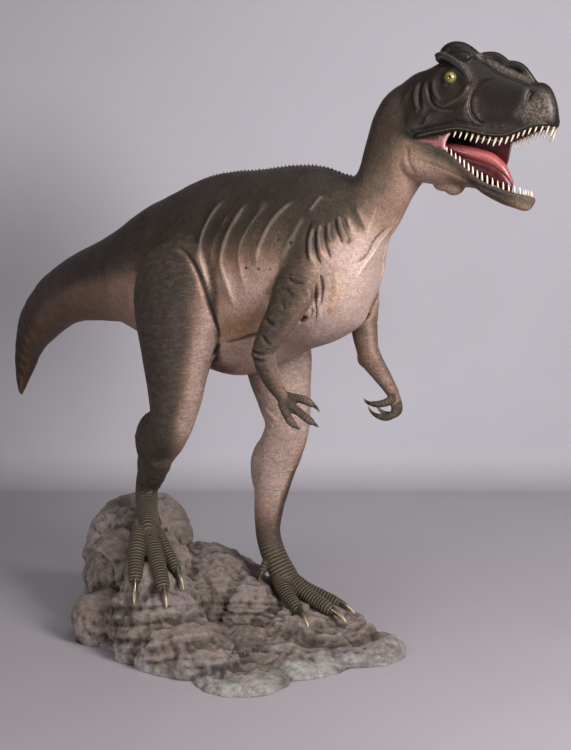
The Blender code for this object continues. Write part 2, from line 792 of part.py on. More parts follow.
def flesh():
    """The whole body as one skin, without teeth and scutes."""
    rough = Clay()
    add_trunk(rough)
    for leg in (RIGHT_LEG, LEFT_LEG):
        rough.limb(leg, (1.0, 0.0, 0.0))
    for arm in (RIGHT_ARM, LEFT_ARM):
        rough.limb(arm, (1.0, 0.0, 0.0))
    for x, y, z, *radii in CALVES + SHOULDERS:
        rough.ball((x, y, z), radii)
    for x, y, z, radius in ELBOWS:
        rough.ball((x, y, z), (radius, radius, radius))
    masses = fuse(rough, "Masses", FLESH_VOXEL, 5)

    fine = Clay()
    fine.add(points_of(masses), [tuple(p.vertices) for p in masses.data.polygons])
    bpy.data.objects.remove(masses)
    add_head_loft(fine, SKULL, SKULL_SQUARENESS)
    add_head_loft(fine, JAW, JAW_SQUARENESS)
    add_ridges(fine)
    u, v, w, *radii = WATTLE
    fine.ball(from_head(u, v, w), radii)
    for rows in (*TOES.values(), *FINGERS.values()):
        fine.tube(rows)
    return fuse(fine, "Flesh", DETAIL_VOXEL, 2)


def row_at(rows, u):
    """The values of a head profile at one u."""
    rows = np.asarray(rows)
    return [np.interp(u, rows[:, 0], rows[:, k]) for k in range(1, rows.shape[1])]


def hollow_mouth(body):
    """Presses the palate up between the upper teeth and a trough down between the lower ones."""
    palate = Clay()
    rows = []
    for u in np.linspace(*PALATE_SPAN, HOLLOW_STATIONS):
        half, top, lip = row_at(SKULL, u)
        wide = max(half - PALATE_WALL, HOLLOW_LEAST_HALF)
        rows.append((u, wide, lip + PALATE_RISE, lip - PALATE_DROP))
    add_head_loft(palate, rows, ROUND, 1, 12)
    trough = Clay()
    rows = []
    for u in np.linspace(*TROUGH_SPAN, HOLLOW_STATIONS):
        half, rim, under = row_at(JAW, u)
        wide = max(half - TROUGH_WALL, HOLLOW_LEAST_HALF)
        rows.append((u, wide, rim + TROUGH_RISE, rim - TROUGH_DEPTH_SHARE * (rim - under)))
    add_head_loft(trough, rows, ROUND, 1, 12)
    boolean(body, [palate.made("Palate"), trough.made("Trough")], "DIFFERENCE")


def gum(profile, u, v, edge):
    """Where the jaw's surface lies above or below v: edge 1 is the upper one and 2 the lower one."""
    half, top, low = row_at(profile, u)
    square = (SKULL_SQUARENESS if profile is SKULL else JAW_SQUARENESS)[edge - 1]
    reach = (1 - min(abs(v) / half, 1.0) ** square) ** (1 / square)
    way = 1 if edge == 1 else -1
    return (top + low) / 2 + way * reach * (top - low) / 2


def cone(base, tip, radius, sides=4):
    """A closed spike from a base point to its tip."""
    direction = unit(np.subtract(tip, base))
    first = unit(np.cross(direction, (0.31, 0.52, 0.8)))
    second = np.cross(direction, first)
    points = [tip]
    for i in range(sides):
        angle = 2 * math.pi * i / sides
        points.append(base + radius * (math.cos(angle) * first + math.sin(angle) * second))
    faces = [(0, i + 1, (i + 1) % sides + 1) for i in range(sides)]
    faces.append(tuple(range(sides, 0, -1)))
    clay = Clay()
    clay.add(points, faces)
    return clay.made("Spike")


def teeth(draw):
    """The upper and lower teeth, both sides."""
    found = []
    rows = (
        (UPPER_TEETH, UPPER_TEETH_SPAN, UPPER_TOOTH_LENGTH, SKULL, 2, -1),
        (LOWER_TEETH, LOWER_TEETH_SPAN, LOWER_TOOTH_LENGTH, JAW, 1, 1),
    )
    for count, span, length, profile, edge, way in rows:
        for i in range(count):
            share = i / (count - 1)
            u = span[0] + (span[1] - span[0]) * share
            half = row_at(profile, u)[0]
            swell = math.sin(math.pi * (0.12 + 0.8 * share))
            long = length * (TOOTH_LEAST_SHARE + (1 - TOOTH_LEAST_SHARE) * swell)
            for side in (-1, 1):
                grown = long * draw.uniform(0.85, 1.1)
                v = side * max(half - TOOTH_INSET, 0.008)
                lip = gum(profile, u, v, edge)
                base = from_head(u, v, lip - way * TOOTH_ROOT)
                tip = from_head(u - TOOTH_LEAN * grown, v, lip + way * grown)
                found.append(cone(base, tip, TOOTH_RADIUS * draw.uniform(0.9, 1.1)))
    return found


def scutes(draw):
    """The row of small scutes along the back, from the nape to near the tail's tip."""
    rows = trunk_rows(12)
    back = np.stack([rows[:, 0], rows[:, 4], rows[:, 1]], axis=1)
    belly = np.stack([rows[:, 2], rows[:, 4], rows[:, 3]], axis=1)
    lengths = np.concatenate([[0.0], np.cumsum(np.linalg.norm(np.diff(back, axis=0), axis=1))])
    total = lengths[-1]
    found = []
    place = SCUTES_FROM_TAIL_TIP
    while place < total - SCUTES_FROM_NAPE:
        point = np.array([np.interp(place, lengths, back[:, k]) for k in range(3)])
        under = np.array([np.interp(place, lengths, belly[:, k]) for k in range(3)])
        ahead = np.array([np.interp(place + 0.02, lengths, back[:, k]) for k in range(3)])
        forward = unit(ahead - point)
        up = unit(point - under)
        up = unit(up - forward * np.dot(up, forward))
        side = np.cross(up, forward)
        size = min(1.0, 0.45 + place / total, 0.6 + 1.2 * (total - place) / total)
        size *= draw.uniform(0.85, 1.15)
        foot = point - up * SCUTE_ROOT
        ring = [
            foot + forward * SCUTE_LENGTH * size / 2,
            foot + side * SCUTE_WIDTH * size / 2,
            foot - forward * SCUTE_LENGTH * size / 2,
            foot - side * SCUTE_WIDTH * size / 2,
        ]
        tip = point + up * SCUTE_HEIGHT * size - forward * SCUTE_LEAN
        clay = Clay()
        clay.add([tip, *ring], [(0, 1, 2), (0, 2, 3), (0, 3, 4), (0, 4, 1), (4, 3, 2, 1)])
        found.append(clay.made("Scute"))
        place += SCUTE_PITCH * size
    return found


def horn(start, forward, down, length, radius, turns, grow):
    """A curved horn, as clay, whose heading swings down between two angles from its root to its tip."""
    place = np.array(start)
    rows = []
    for share in np.linspace(0.0, 1.0, CLAW_STEPS + 1):
        angle = turns[0] + (turns[1] - turns[0]) * share
        size = radius * (1 - share) ** CLAW_TAPER + 0.0012
        heading = forward * math.cos(angle) + down * math.sin(angle)
        back = heading * grow if share == 0.0 else 0.0
        rows.append((*(place - back), size * 0.85 + grow, size + grow))
        place = place + heading * (length + CLAW_ROOT) / CLAW_STEPS
    clay = Clay()
    clay.limb(rows, np.cross(forward, down), steps=1, around=6)
    return clay


def toe_claw(name, grow):
    """A toe's claw, which bends down to the rock."""
    rows = TOES[name]
    hind = name.endswith("hind")
    length = HIND_CLAW_LENGTH if hind else TOE_CLAW_LENGTH
    radius = HIND_CLAW_RADIUS if hind else TOE_CLAW_RADIUS
    forward = unit(np.subtract(rows[-1][:3], rows[-3][:3]))
    down = unit(np.array((0.0, 0.0, -1.0)) - forward * -forward[2])
    start = np.array(rows[-2][:3]) + forward * 0.006 - down * radius * 0.25
    turns = (-0.25 * TOE_CLAW_TURN, 0.75 * TOE_CLAW_TURN)
    return horn(start, forward, down, length, radius, turns, grow)


def finger_claw(name, grow):
    """A finger's claw, which curls toward the palm."""
    rows = np.array(FINGERS[name])
    forward = unit(rows[-1, :3] - rows[-3, :3])
    inward = rows[:2, :3].mean(axis=0) - rows[-1, :3]
    down = unit(inward - forward * np.dot(inward, forward))
    turns = (0.0, FINGER_CLAW_TURN)
    length = FINGER_CLAW_LENGTH
    return horn(rows[-2, :3], forward, down, length, FINGER_CLAW_RADIUS, turns, grow)


def claws(grow=0.0):
    """Every claw as clay, by name."""
    made = {"toe_claw_" + name: toe_claw(name, grow) for name in TOES}
    made.update({"finger_claw_" + name: finger_claw(name, grow) for name in FINGERS})
    return made


def eye(side, grow=0.0):
    """An eyeball, as clay."""
    u, v, w = EYE_PLACE
    clay = Clay()
    radius = EYE_RADIUS + grow
    clay.ball(from_head(u, side * v, w), (radius, radius, radius), 7, 12)
    return clay


def tongue(grow=0.0):
    """The tongue, as clay."""
    rows = [(u, half + grow, w + thick + grow, w - thick - grow) for u, w, half, thick in TONGUE]
    rows[0] = (rows[0][0] - grow, *rows[0][1:])
    rows[-1] = (rows[-1][0] + grow, *rows[-1][1:])
    clay = Clay()
    add_head_loft(clay, rows, ROUND, 1, 10)
    return clay


def limb_form(rows, top, side, around, grow):
    """The space that a limb takes from the body, closed by a narrow top above its first row."""
    inward, height, fore, across = top
    x, y, z = rows[0][:3]
    rows = [(x, y + side * inward, z + height + grow, fore, across), *rows]
    x, y, z, fore, across = rows[-1]
    rows[-1] = (x, y, z - grow, fore, across)
    clay = Clay()
    clay.limb(rows, (1.0, 0.0, 0.0), steps=1, around=around, grow=grow)
    return clay


def thigh_form(side, grow=0.0):
    """The space that a thigh takes, from its crease on the flank down to the knee."""
    leg = RIGHT_LEG if side < 0 else LEFT_LEG
    rows = []
    for x, y, z, fore, across in leg[1:8]:
        crease = min(max((z - THIGH_CREASE_HEIGHT) / THIGH_CREASE_RUN, 0.0), 1.0)
        shift = side * (THIGH_SHIFT[0] + THIGH_SHIFT[1] * crease)
        rows.append((x, y + shift, z, fore + LIMB_ROOM[0], across + LIMB_ROOM[1]))
    return limb_form(rows, THIGH_TOP, side, 16, grow)


def arm_form(side, grow=0.0):
    """The space that an upper arm takes, from the shoulder's crease to just above the elbow."""
    arm = RIGHT_ARM if side < 0 else LEFT_ARM
    rows = []
    for x, y, z, fore, across in arm[1:5]:
        rows.append((x, y + side * ARM_SHIFT, z, fore + LIMB_ROOM[0], across + LIMB_ROOM[1]))
    return limb_form(rows, ARM_TOP, side, 12, grow)


def rock_base():
    """The rock: overlapping masses fused, thinned out, and cut flat underneath."""
    clay = Clay()
    for x, y, z, *radii in ROCKS:
        clay.ball((x, y, z), radii, 12, 20)
    rock = fuse(clay, "rock_base", ROCK_VOXEL, 3)
    thin_out(rock, ROCK_TRIANGLES)
    under = Clay()
    under.rings(
        [
            [(-3.0, -3.0, z), (3.0, -3.0, z), (3.0, 3.0, z), (-3.0, 3.0, z)]
            for z in (-1.0, 0.0)
        ]
    )
    boolean(rock, [under.made("Under")], "DIFFERENCE")
    return rock


def swollen(source, distance):
    """A copy of the object grown by the distance along its normals."""
    grown = copy_of(source, "Grown")
    shape = bmesh.new()
    shape.from_mesh(grown.data)
    bmesh.ops.triangulate(shape, faces=shape.faces)
    shape.normal_update()
    for vert in shape.verts:
        vert.co += vert.normal * distance
    shape.to_mesh(grown.data)
    shape.free()
    return grown


def cuts():
    """The thin cuts across neck, jaw, tail, limbs and feet."""
    found = []
    for place, (forward, up), half_sizes in HEAD_CUTS:
        normal = HEAD_FORWARD * forward + HEAD_UP * up
        found.append(slab(from_head(*place), normal, half_sizes, HEAD_LEFT))
    for place, normal, half_sizes in BODY_CUTS:
        found.append(slab(place, normal, half_sizes))
    return found


def parted(body):
    """The body's pieces by name, as (points, faces). It uses the body up."""
    pieces = {}
    for side, name in ((-1, "right"), (1, "left")):
        for word, form in (("thigh_", thigh_form), ("upper_arm_", arm_form)):
            piece = copy_of(body, word + name)
            boolean(piece, [form(side).made("Form")], "INTERSECT")
            pieces[word + name] = islands(piece)[0]
            bpy.data.objects.remove(piece)
    forms = [form(side, GAP).made("Form") for side in (-1, 1) for form in (thigh_form, arm_form)]
    boolean(body, forms, "DIFFERENCE")
    boolean(body, cuts(), "DIFFERENCE")
    middles = dict(MIDDLES, head=from_head(*HEAD_MIDDLE), lower_jaw=from_head(*LOWER_JAW_MIDDLE))
    for points, faces in islands(body):
        middle = (points.min(axis=0) + points.max(axis=0)) / 2
        name = min(middles, key=lambda key: np.linalg.norm(middle - middles[key]))
        if name not in pieces:
            pieces[name] = (points, faces)
    bpy.data.objects.remove(body)
    return pieces


def build():
    """Makes every piece."""
    for old in list(bpy.data.objects):
        bpy.data.objects.remove(old)
    draw = random.Random(7)
    hide = material("Painted hide", (0.110, 0.085, 0.062), 0.55)
    pale = material("Painted flank", (0.300, 0.190, 0.130), 0.55)
    claw_gloss = material("Claw brown gloss", (0.180, 0.120, 0.060), 0.30)
    iris = material("Eye gloss", (0.600, 0.420, 0.040), 0.08)
    pink = material("Mouth pink", (0.480, 0.120, 0.100), 0.35)
    stone = material("Painted rock", (0.250, 0.230, 0.210), 0.80)

    body = flesh()
    thin_out(body, FLESH_TRIANGLES)
    hollow_mouth(body)
    boolean(body, teeth(draw), "UNION")
    boolean(body, scutes(draw), "UNION")

    rock = rock_base()
    seats = [swollen(rock, GAP), tongue(GAP).made("Seat")]
    seats += [clay.made("Seat") for clay in claws(GAP).values()]
    seats += [eye(side, GAP).made("Seat") for side in (-1, 1)]
    boolean(body, seats, "DIFFERENCE")
    for name, (points, faces) in parted(body).items():
        paint(mesh_object(name, points, faces), pale if name == "torso" else hide)

    for name, clay in claws().items():
        claw = clay.made(name)
        boolean(claw, [swollen(rock, GAP)], "DIFFERENCE")
        paint(claw, claw_gloss)
    paint(eye(-1).made("eye_right"), iris)
    paint(eye(1).made("eye_left"), iris)
    paint(tongue().made("tongue"), pink)
    paint(rock, stone)


build()
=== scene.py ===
# %% [markdown]
# # A striding dinosaur statue on its rock base
# The real object is a cast fibreglass statue, about as tall as a tall room, painted by hand with an
# airbrush. Its body could be drawn as one surface by hand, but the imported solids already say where
# every mass lies. So this lesson rebuilds the same masses more finely, fuses them into one skin,
# presses the folds into that skin, and paints it with procedural materials.

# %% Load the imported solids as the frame
import math

import bmesh
import bpy
import numpy as np
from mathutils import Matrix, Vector, noise


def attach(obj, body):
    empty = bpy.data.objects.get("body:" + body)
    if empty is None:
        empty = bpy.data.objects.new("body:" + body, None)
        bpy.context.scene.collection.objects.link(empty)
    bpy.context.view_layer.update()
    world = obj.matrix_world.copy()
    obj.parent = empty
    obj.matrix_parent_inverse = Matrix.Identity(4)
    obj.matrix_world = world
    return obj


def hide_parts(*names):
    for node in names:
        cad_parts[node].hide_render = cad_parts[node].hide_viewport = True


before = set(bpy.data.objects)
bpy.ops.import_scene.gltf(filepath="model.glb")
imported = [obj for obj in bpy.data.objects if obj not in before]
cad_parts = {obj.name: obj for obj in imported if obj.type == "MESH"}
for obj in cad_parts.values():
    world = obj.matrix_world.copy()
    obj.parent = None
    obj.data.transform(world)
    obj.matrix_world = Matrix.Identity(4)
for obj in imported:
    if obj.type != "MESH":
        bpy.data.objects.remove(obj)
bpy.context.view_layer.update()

# %% [markdown]
# ## The camera
# The photograph was taken from eye height, between four and five metres away, looking slightly down. A
# camera is set there first, because every later choice is judged through it. Its lens is given in
# millimetres on a 36 mm sensor, which in an upright picture is measured along the long side.

# %% Set the camera
def shown(name, data):
    """A new object in the scene, made of this data."""
    made = bpy.data.objects.new(name, data)
    bpy.context.scene.collection.objects.link(made)
    return made


CAMERA_PLACE = Vector((2.524, -3.604, 1.470))
CAMERA_AIM = Vector((0.0, 0.0, 1.131))
LENS = 51.84
SENSOR = 36.0

camera_data = bpy.data.cameras.new("Camera")
camera_data.lens = LENS
camera_data.sensor_width = SENSOR
camera = shown("Camera", camera_data)
camera.location = CAMERA_PLACE
camera.rotation_euler = (CAMERA_AIM - CAMERA_PLACE).to_track_quat("-Z", "Y").to_euler()
bpy.context.scene.camera = camera
bpy.context.scene.view_settings.view_transform = "Standard"
print("camera:", round((CAMERA_AIM - CAMERA_PLACE).length, 2), "m from its aim")

# %% [markdown]
# ## Small helpers for numbers
# Stations of a body are given few and far between, as a sculptor marks an armature. A Catmull-Rom
# curve runs through them smoothly. The eased step is the soft edge of an airbrush: nought below one
# value, one above another, and a gentle slope between. The bell is a stroke of it, seen across.


# %% Curves, steps and distances
def unit(vector):
    """The vector at length one."""
    return np.asarray(vector, float) / np.linalg.norm(vector)


def eased(low, high, value):
    """A soft step from 0 to 1."""
    t = np.clip((np.asarray(value, float) - low) / (high - low), 0.0, 1.0)
    return t * t * (3 - 2 * t)


def bell(distance, width):
    """1 at no distance, and next to nothing two widths away."""
    return np.exp(-((distance / width) ** 2))


def smooth_rows(rows, steps):
    """Rows of numbers read off a Catmull-Rom curve through the given rows."""
    rows = np.asarray(rows, float)
    padded = np.vstack([2 * rows[0] - rows[1], rows, 2 * rows[-1] - rows[-2]])
    out = []
    for i in range(len(rows) - 1):
        p0, p1, p2, p3 = padded[i : i + 4]
        for t in np.arange(steps) / steps:
            bend = (2 * p0 - 5 * p1 + 4 * p2 - p3) * t**2 + (3 * p1 - p0 - 3 * p2 + p3) * t**3
            out.append(0.5 * (2 * p1 + (p2 - p0) * t + bend))
    out.append(rows[-1])
    return np.array(out)


def near_path(places, path):
    """Each place's distance from a path, and how far along the path it lies, in metres."""
    nearest = np.full(len(places), 99.0)
    along = np.zeros(len(places))
    start = 0.0
    for a, b in zip(path[:-1], path[1:]):
        length = np.linalg.norm(b - a)
        t = np.clip(((places - a) @ (b - a)) / length**2, 0.0, 1.0)
        distance = np.linalg.norm(places - a - t[:, None] * (b - a), axis=1)
        closer = distance < nearest
        nearest[closer] = distance[closer]
        along[closer] = start + t[closer] * length
        start += length
    return nearest, along


def marks_on(path):
    """How far along a path each of its points lies, in metres."""
    return np.concatenate([[0.0], np.cumsum(np.linalg.norm(np.diff(path, axis=0), axis=1))])


def read_off(values, marks, along):
    """The rows of values, known at a path's marks, read off at other places along it."""
    return np.stack([np.interp(along, marks, column) for column in np.transpose(values)], axis=-1)


def noise_of(places, scale):
    """Smooth noise between -1 and 1 at each place, finer with a larger scale."""
    return np.array([noise.noise(Vector(p) * scale) for p in places])


def sprayed(places, path, width, amount=1.0):
    """How much each place gets of a spray along a path."""
    return amount * bell(near_path(places, np.array(path))[0], width)


# %% [markdown]
# ## The trunk's measures
# One table carries the tail, the belly, the back and the neck: at each station the point of the back,
# the point of the belly, how far the tail swings aside, the half width, and how much fuller the
# section is below. Drawing a body between two outlines keeps its profile exactly where it should be.

# %% Trunk table
TRUNK = (
    (-2.128, 0.890, -2.118, 0.888, 0.470, 0.006, 0.0),
    (-2.131, 0.925, -2.093, 0.925, 0.455, 0.019, 0.0),
    (-2.096, 1.068, -1.975, 1.062, 0.420, 0.048, 0.0),
    (-2.019, 1.210, -1.863, 1.155, 0.370, 0.068, 0.0),
    (-1.880, 1.375, -1.696, 1.226, 0.300, 0.092, 0.0),
    (-1.642, 1.522, -1.493, 1.295, 0.210, 0.112, 0.0),
    (-1.441, 1.597, -1.329, 1.325, 0.140, 0.125, 0.0),
    (-1.228, 1.659, -1.142, 1.334, 0.075, 0.141, 0.02),
    (-1.026, 1.709, -0.966, 1.334, 0.030, 0.157, 0.04),
    (-0.851, 1.772, -0.858, 1.325, 0.005, 0.178, 0.06),
    (-0.708, 1.843, -0.727, 1.275, 0.000, 0.200, 0.08),
    (-0.540, 1.902, -0.547, 1.205, 0.000, 0.218, 0.10),
    (-0.396, 1.950, -0.401, 1.152, 0.000, 0.232, 0.12),
    (-0.257, 1.966, -0.234, 1.120, 0.000, 0.246, 0.14),
    (-0.117, 1.966, -0.068, 1.160, 0.000, 0.252, 0.16),
    (0.071, 1.972, 0.072, 1.225, 0.000, 0.244, 0.14),
    (0.189, 1.957, 0.225, 1.275, 0.000, 0.222, 0.10),
    (0.282, 1.925, 0.340, 1.340, 0.000, 0.192, 0.06),
    (0.335, 1.912, 0.400, 1.440, 0.000, 0.158, 0.02),
    (0.362, 1.925, 0.432, 1.550, 0.000, 0.130, 0.0),
    (0.382, 1.972, 0.470, 1.645, 0.002, 0.113, 0.0),
    (0.402, 2.060, 0.510, 1.725, 0.004, 0.106, 0.0),
    (0.426, 2.140, 0.548, 1.800, 0.008, 0.104, 0.0),
    (0.470, 2.212, 0.590, 1.862, 0.015, 0.104, 0.0),
    (0.550, 2.255, 0.630, 1.905, 0.025, 0.098, 0.0),
    (0.620, 2.262, 0.665, 1.950, 0.040, 0.085, 0.0),
)
TRUNK_ROWS = smooth_rows(TRUNK, 8)
BACK_LINE = TRUNK_ROWS[:, (0, 4, 1)]
BELLY_LINE = TRUNK_ROWS[:, (2, 4, 3)]
print("trunk:", len(TRUNK_ROWS), "sections")

# %% [markdown]
# ## The head's measures
# The head is turned, nodded and rolled against the body, so it gets a frame of its own: u runs
# forward from the nape, v to its left, w up. Skull and lower jaw are two lofts along u. Their
# sections are squarer towards the mouth, which gives the flat lips that the teeth stand in.

# %% Head tables
HEAD_ORIGIN = np.array((0.560, 0.010, 2.120))
HEAD_YAW = math.radians(12)
HEAD_PITCH = math.radians(10)
HEAD_ROLL = math.radians(-2)
# Rows of the skull and the lower jaw: u, half width, and the w of their upper and lower edges
SKULL = (
    (-0.045, 0.050, 0.122, -0.060),
    (0.000, 0.084, 0.156, -0.082),
    (0.050, 0.096, 0.180, -0.086),
    (0.100, 0.100, 0.214, -0.074),
    (0.150, 0.100, 0.234, -0.058),
    (0.200, 0.096, 0.240, -0.042),
    (0.250, 0.089, 0.240, -0.041),
    (0.299, 0.082, 0.234, -0.045),
    (0.349, 0.075, 0.214, -0.045),
    (0.397, 0.069, 0.194, -0.031),
    (0.441, 0.063, 0.172, -0.003),
    (0.470, 0.058, 0.172, 0.012),
    (0.495, 0.053, 0.158, 0.019),
    (0.514, 0.047, 0.132, 0.020),
    (0.530, 0.037, 0.098, 0.020),
    (0.541, 0.024, 0.066, 0.022),
    (0.548, 0.010, 0.048, 0.030),
)
JAW = (
    (-0.020, 0.070, -0.075, -0.215),
    (0.050, 0.088, -0.088, -0.230),
    (0.120, 0.090, -0.098, -0.232),
    (0.160, 0.089, -0.104, -0.232),
    (0.191, 0.086, -0.117, -0.230),
    (0.262, 0.076, -0.163, -0.225),
    (0.300, 0.071, -0.186, -0.228),
    (0.329, 0.066, -0.200, -0.243),
    (0.395, 0.054, -0.217, -0.266),
    (0.447, 0.042, -0.224, -0.276),
    (0.484, 0.030, -0.226, -0.281),
    (0.506, 0.018, -0.228, -0.272),
    (0.518, 0.008, -0.232, -0.245),
)
SKULL_SQUARENESS = (2.5, 5.0)
JAW_SQUARENESS = (5.0, 2.5)
# Rows of the ridges over the eye and along the snout: u, v, w and radius
BROW_HORN = (
    (0.098, 0.048, 0.222, 0.020),
    (0.110, 0.048, 0.240, 0.024),
    (0.130, 0.048, 0.250, 0.027),
    (0.158, 0.048, 0.250, 0.028),
    (0.186, 0.048, 0.242, 0.026),
    (0.214, 0.047, 0.230, 0.022),
    (0.236, 0.046, 0.220, 0.018),
)
BROW_EDGE = (
    (0.086, 0.078, 0.205, 0.020),
    (0.106, 0.084, 0.212, 0.018),
    (0.132, 0.087, 0.204, 0.015),
    (0.160, 0.088, 0.190, 0.014),
    (0.185, 0.088, 0.174, 0.012),
    (0.206, 0.087, 0.152, 0.010),
    (0.220, 0.085, 0.130, 0.008),
)
NASAL_RIDGE = (
    (0.240, 0.044, 0.234, 0.016),
    (0.268, 0.045, 0.238, 0.017),
    (0.292, 0.045, 0.237, 0.017),
    (0.315, 0.044, 0.229, 0.015),
    (0.335, 0.043, 0.217, 0.014),
    (0.358, 0.042, 0.217, 0.015),
    (0.380, 0.040, 0.213, 0.014),
    (0.400, 0.036, 0.200, 0.014),
    (0.420, 0.031, 0.180, 0.013),
    (0.440, 0.024, 0.162, 0.012),
)
# Lumps on the head: u, v and w of the middle, and three half sizes
BROW = (0.150, 0.066, 0.213, 0.060, 0.024, 0.028)
WATTLE = (0.214, 0.0, -0.2195, 0.045, 0.034, 0.044)
CHIN = (0.185, 0.0, -0.226, 0.052, 0.030, 0.026)
# The tongue's rows: u, w of its middle, half width and half thickness
TONGUE = (
    (0.100, -0.098, 0.030, 0.014),
    (0.160, -0.098, 0.040, 0.022),
    (0.230, -0.104, 0.045, 0.027),
    (0.300, -0.112, 0.044, 0.028),
    (0.345, -0.122, 0.039, 0.027),
    (0.385, -0.144, 0.031, 0.022),
    (0.412, -0.170, 0.021, 0.014),
    (0.428, -0.190, 0.008, 0.006),
)
EYE_PLACE = (0.150, 0.084, 0.140)
EYE_RADIUS = 0.024


# %% The head's own frame
def head_axes():
    """The head's forward, left and up directions in the world."""
    level = np.array((-math.sin(HEAD_YAW), math.cos(HEAD_YAW), 0.0))
    ahead = np.array((math.cos(HEAD_YAW), math.sin(HEAD_YAW), 0.0))
    forward = ahead * math.cos(HEAD_PITCH) - np.array((0.0, 0.0, math.sin(HEAD_PITCH)))
    upright = np.cross(forward, level)
    left = level * math.cos(HEAD_ROLL) + upright * math.sin(HEAD_ROLL)
    up = upright * math.cos(HEAD_ROLL) - level * math.sin(HEAD_ROLL)
    return np.array((forward, left, up))


HEAD_AXES = head_axes()


def from_head(u, v, w):
    """The world place of a point given in the head's own frame."""
    return HEAD_ORIGIN + np.array((u, v, w)) @ HEAD_AXES


def in_head(places):
    """World places as (u, v, w) in the head's own frame."""
    return (places - HEAD_ORIGIN) @ HEAD_AXES.T


def profile_at(rows, u):
    """The values of a head table at one u, or at many."""
    rows = np.asarray(rows)
    return [np.interp(u, rows[:, 0], rows[:, k]) for k in range(1, rows.shape[1])]


print("head: snout's tip at", from_head(0.544, 0.0, 0.06).round(3))

# %% [markdown]
# ## The limbs' measures
# Each leg and arm is a chain of oval sections from the hip or shoulder down. Toes and fingers are
# round tubes that bend at their joints. The animal strides, so the right leg reaches back and stands
# high on the rock, and the left one reaches forward and low.

# %% Limb tables
# Rows of the limbs: the centre, half the size fore and aft, and half the size across
RIGHT_LEG = (
    (-0.370, -0.140, 1.690, 0.060, 0.060),
    (-0.375, -0.190, 1.600, 0.180, 0.105),
    (-0.385, -0.218, 1.500, 0.208, 0.122),
    (-0.384, -0.232, 1.400, 0.204, 0.124),
    (-0.372, -0.242, 1.250, 0.176, 0.116),
    (-0.368, -0.255, 1.120, 0.142, 0.102),
    (-0.368, -0.268, 1.000, 0.112, 0.090),
    (-0.390, -0.270, 0.915, 0.090, 0.084),
    (-0.456, -0.243, 0.845, 0.086, 0.080),
    (-0.550, -0.195, 0.765, 0.070, 0.064),
    (-0.615, -0.150, 0.690, 0.054, 0.050),
    (-0.645, -0.130, 0.640, 0.054, 0.048),
    (-0.625, -0.158, 0.585, 0.048, 0.050),
    (-0.560, -0.222, 0.527, 0.044, 0.056),
    (-0.490, -0.288, 0.482, 0.042, 0.062),
    (-0.455, -0.318, 0.458, 0.024, 0.040),
)
LEFT_LEG = (
    (-0.365, 0.140, 1.690, 0.060, 0.060),
    (-0.350, 0.190, 1.600, 0.180, 0.105),
    (-0.315, 0.215, 1.500, 0.205, 0.122),
    (-0.262, 0.222, 1.360, 0.195, 0.124),
    (-0.205, 0.218, 1.220, 0.168, 0.116),
    (-0.172, 0.208, 1.100, 0.150, 0.106),
    (-0.148, 0.203, 1.000, 0.124, 0.094),
    (-0.130, 0.200, 0.890, 0.102, 0.084),
    (-0.165, 0.192, 0.780, 0.104, 0.080),
    (-0.190, 0.184, 0.690, 0.094, 0.074),
    (-0.206, 0.177, 0.570, 0.074, 0.062),
    (-0.216, 0.172, 0.460, 0.059, 0.054),
    (-0.205, 0.170, 0.380, 0.056, 0.052),
    (-0.165, 0.170, 0.300, 0.054, 0.058),
    (-0.112, 0.170, 0.225, 0.050, 0.066),
    (-0.070, 0.170, 0.185, 0.030, 0.046),
)
# The sinew that runs from the near calf down to the front of the ankle
SINEW = ((-0.515, -0.215, 0.755, 0.064), (-0.548, -0.192, 0.705, 0.054), (-0.578, -0.170, 0.662, 0.042))
# Rounded lumps of muscle and bone: the middle, and three half sizes or one radius
CALVES = (
    (-0.492, -0.238, 0.848, 0.106, 0.070, 0.132),
    (-0.216, 0.190, 0.700, 0.095, 0.070, 0.150),
)
# Rows of the toes: a point on the middle line and its radius
TOES = {
    "right_inner": (
        (-0.500, -0.262, 0.486, 0.032),
        (-0.430, -0.290, 0.448, 0.030),
        (-0.365, -0.312, 0.394, 0.027),
        (-0.318, -0.328, 0.350, 0.025),
        (-0.296, -0.336, 0.326, 0.013),
    ),
    "right_middle": (
        (-0.490, -0.295, 0.482, 0.038),
        (-0.420, -0.345, 0.428, 0.036),
        (-0.350, -0.392, 0.362, 0.033),
        (-0.296, -0.430, 0.308, 0.030),
        (-0.274, -0.446, 0.284, 0.015),
    ),
    "right_outer": (
        (-0.515, -0.315, 0.486, 0.036),
        (-0.475, -0.380, 0.434, 0.035),
        (-0.438, -0.430, 0.368, 0.032),
        (-0.412, -0.462, 0.320, 0.028),
        (-0.403, -0.476, 0.296, 0.014),
    ),
    "left_inner": (
        (-0.135, 0.142, 0.232, 0.036),
        (-0.072, 0.105, 0.192, 0.034),
        (-0.014, 0.075, 0.160, 0.030),
        (0.022, 0.058, 0.142, 0.026),
        (0.040, 0.050, 0.132, 0.013),
    ),
    "left_middle": (
        (-0.115, 0.168, 0.230, 0.040),
        (-0.030, 0.165, 0.186, 0.036),
        (0.050, 0.160, 0.156, 0.033),
        (0.112, 0.156, 0.136, 0.030),
        (0.140, 0.154, 0.126, 0.014),
    ),
    "left_outer": (
        (-0.120, 0.196, 0.228, 0.036),
        (-0.050, 0.222, 0.184, 0.033),
        (0.020, 0.246, 0.154, 0.031),
        (0.076, 0.262, 0.134, 0.028),
        (0.100, 0.268, 0.124, 0.014),
    ),
    "right_hind": (
        (-0.610, -0.150, 0.560, 0.026),
        (-0.612, -0.128, 0.520, 0.019),
        (-0.606, -0.118, 0.490, 0.015),
        (-0.602, -0.114, 0.476, 0.008),
    ),
    "left_hind": (
        (-0.178, 0.146, 0.318, 0.026),
        (-0.192, 0.120, 0.288, 0.020),
        (-0.194, 0.104, 0.262, 0.016),
        (-0.192, 0.098, 0.248, 0.009),
    ),
}
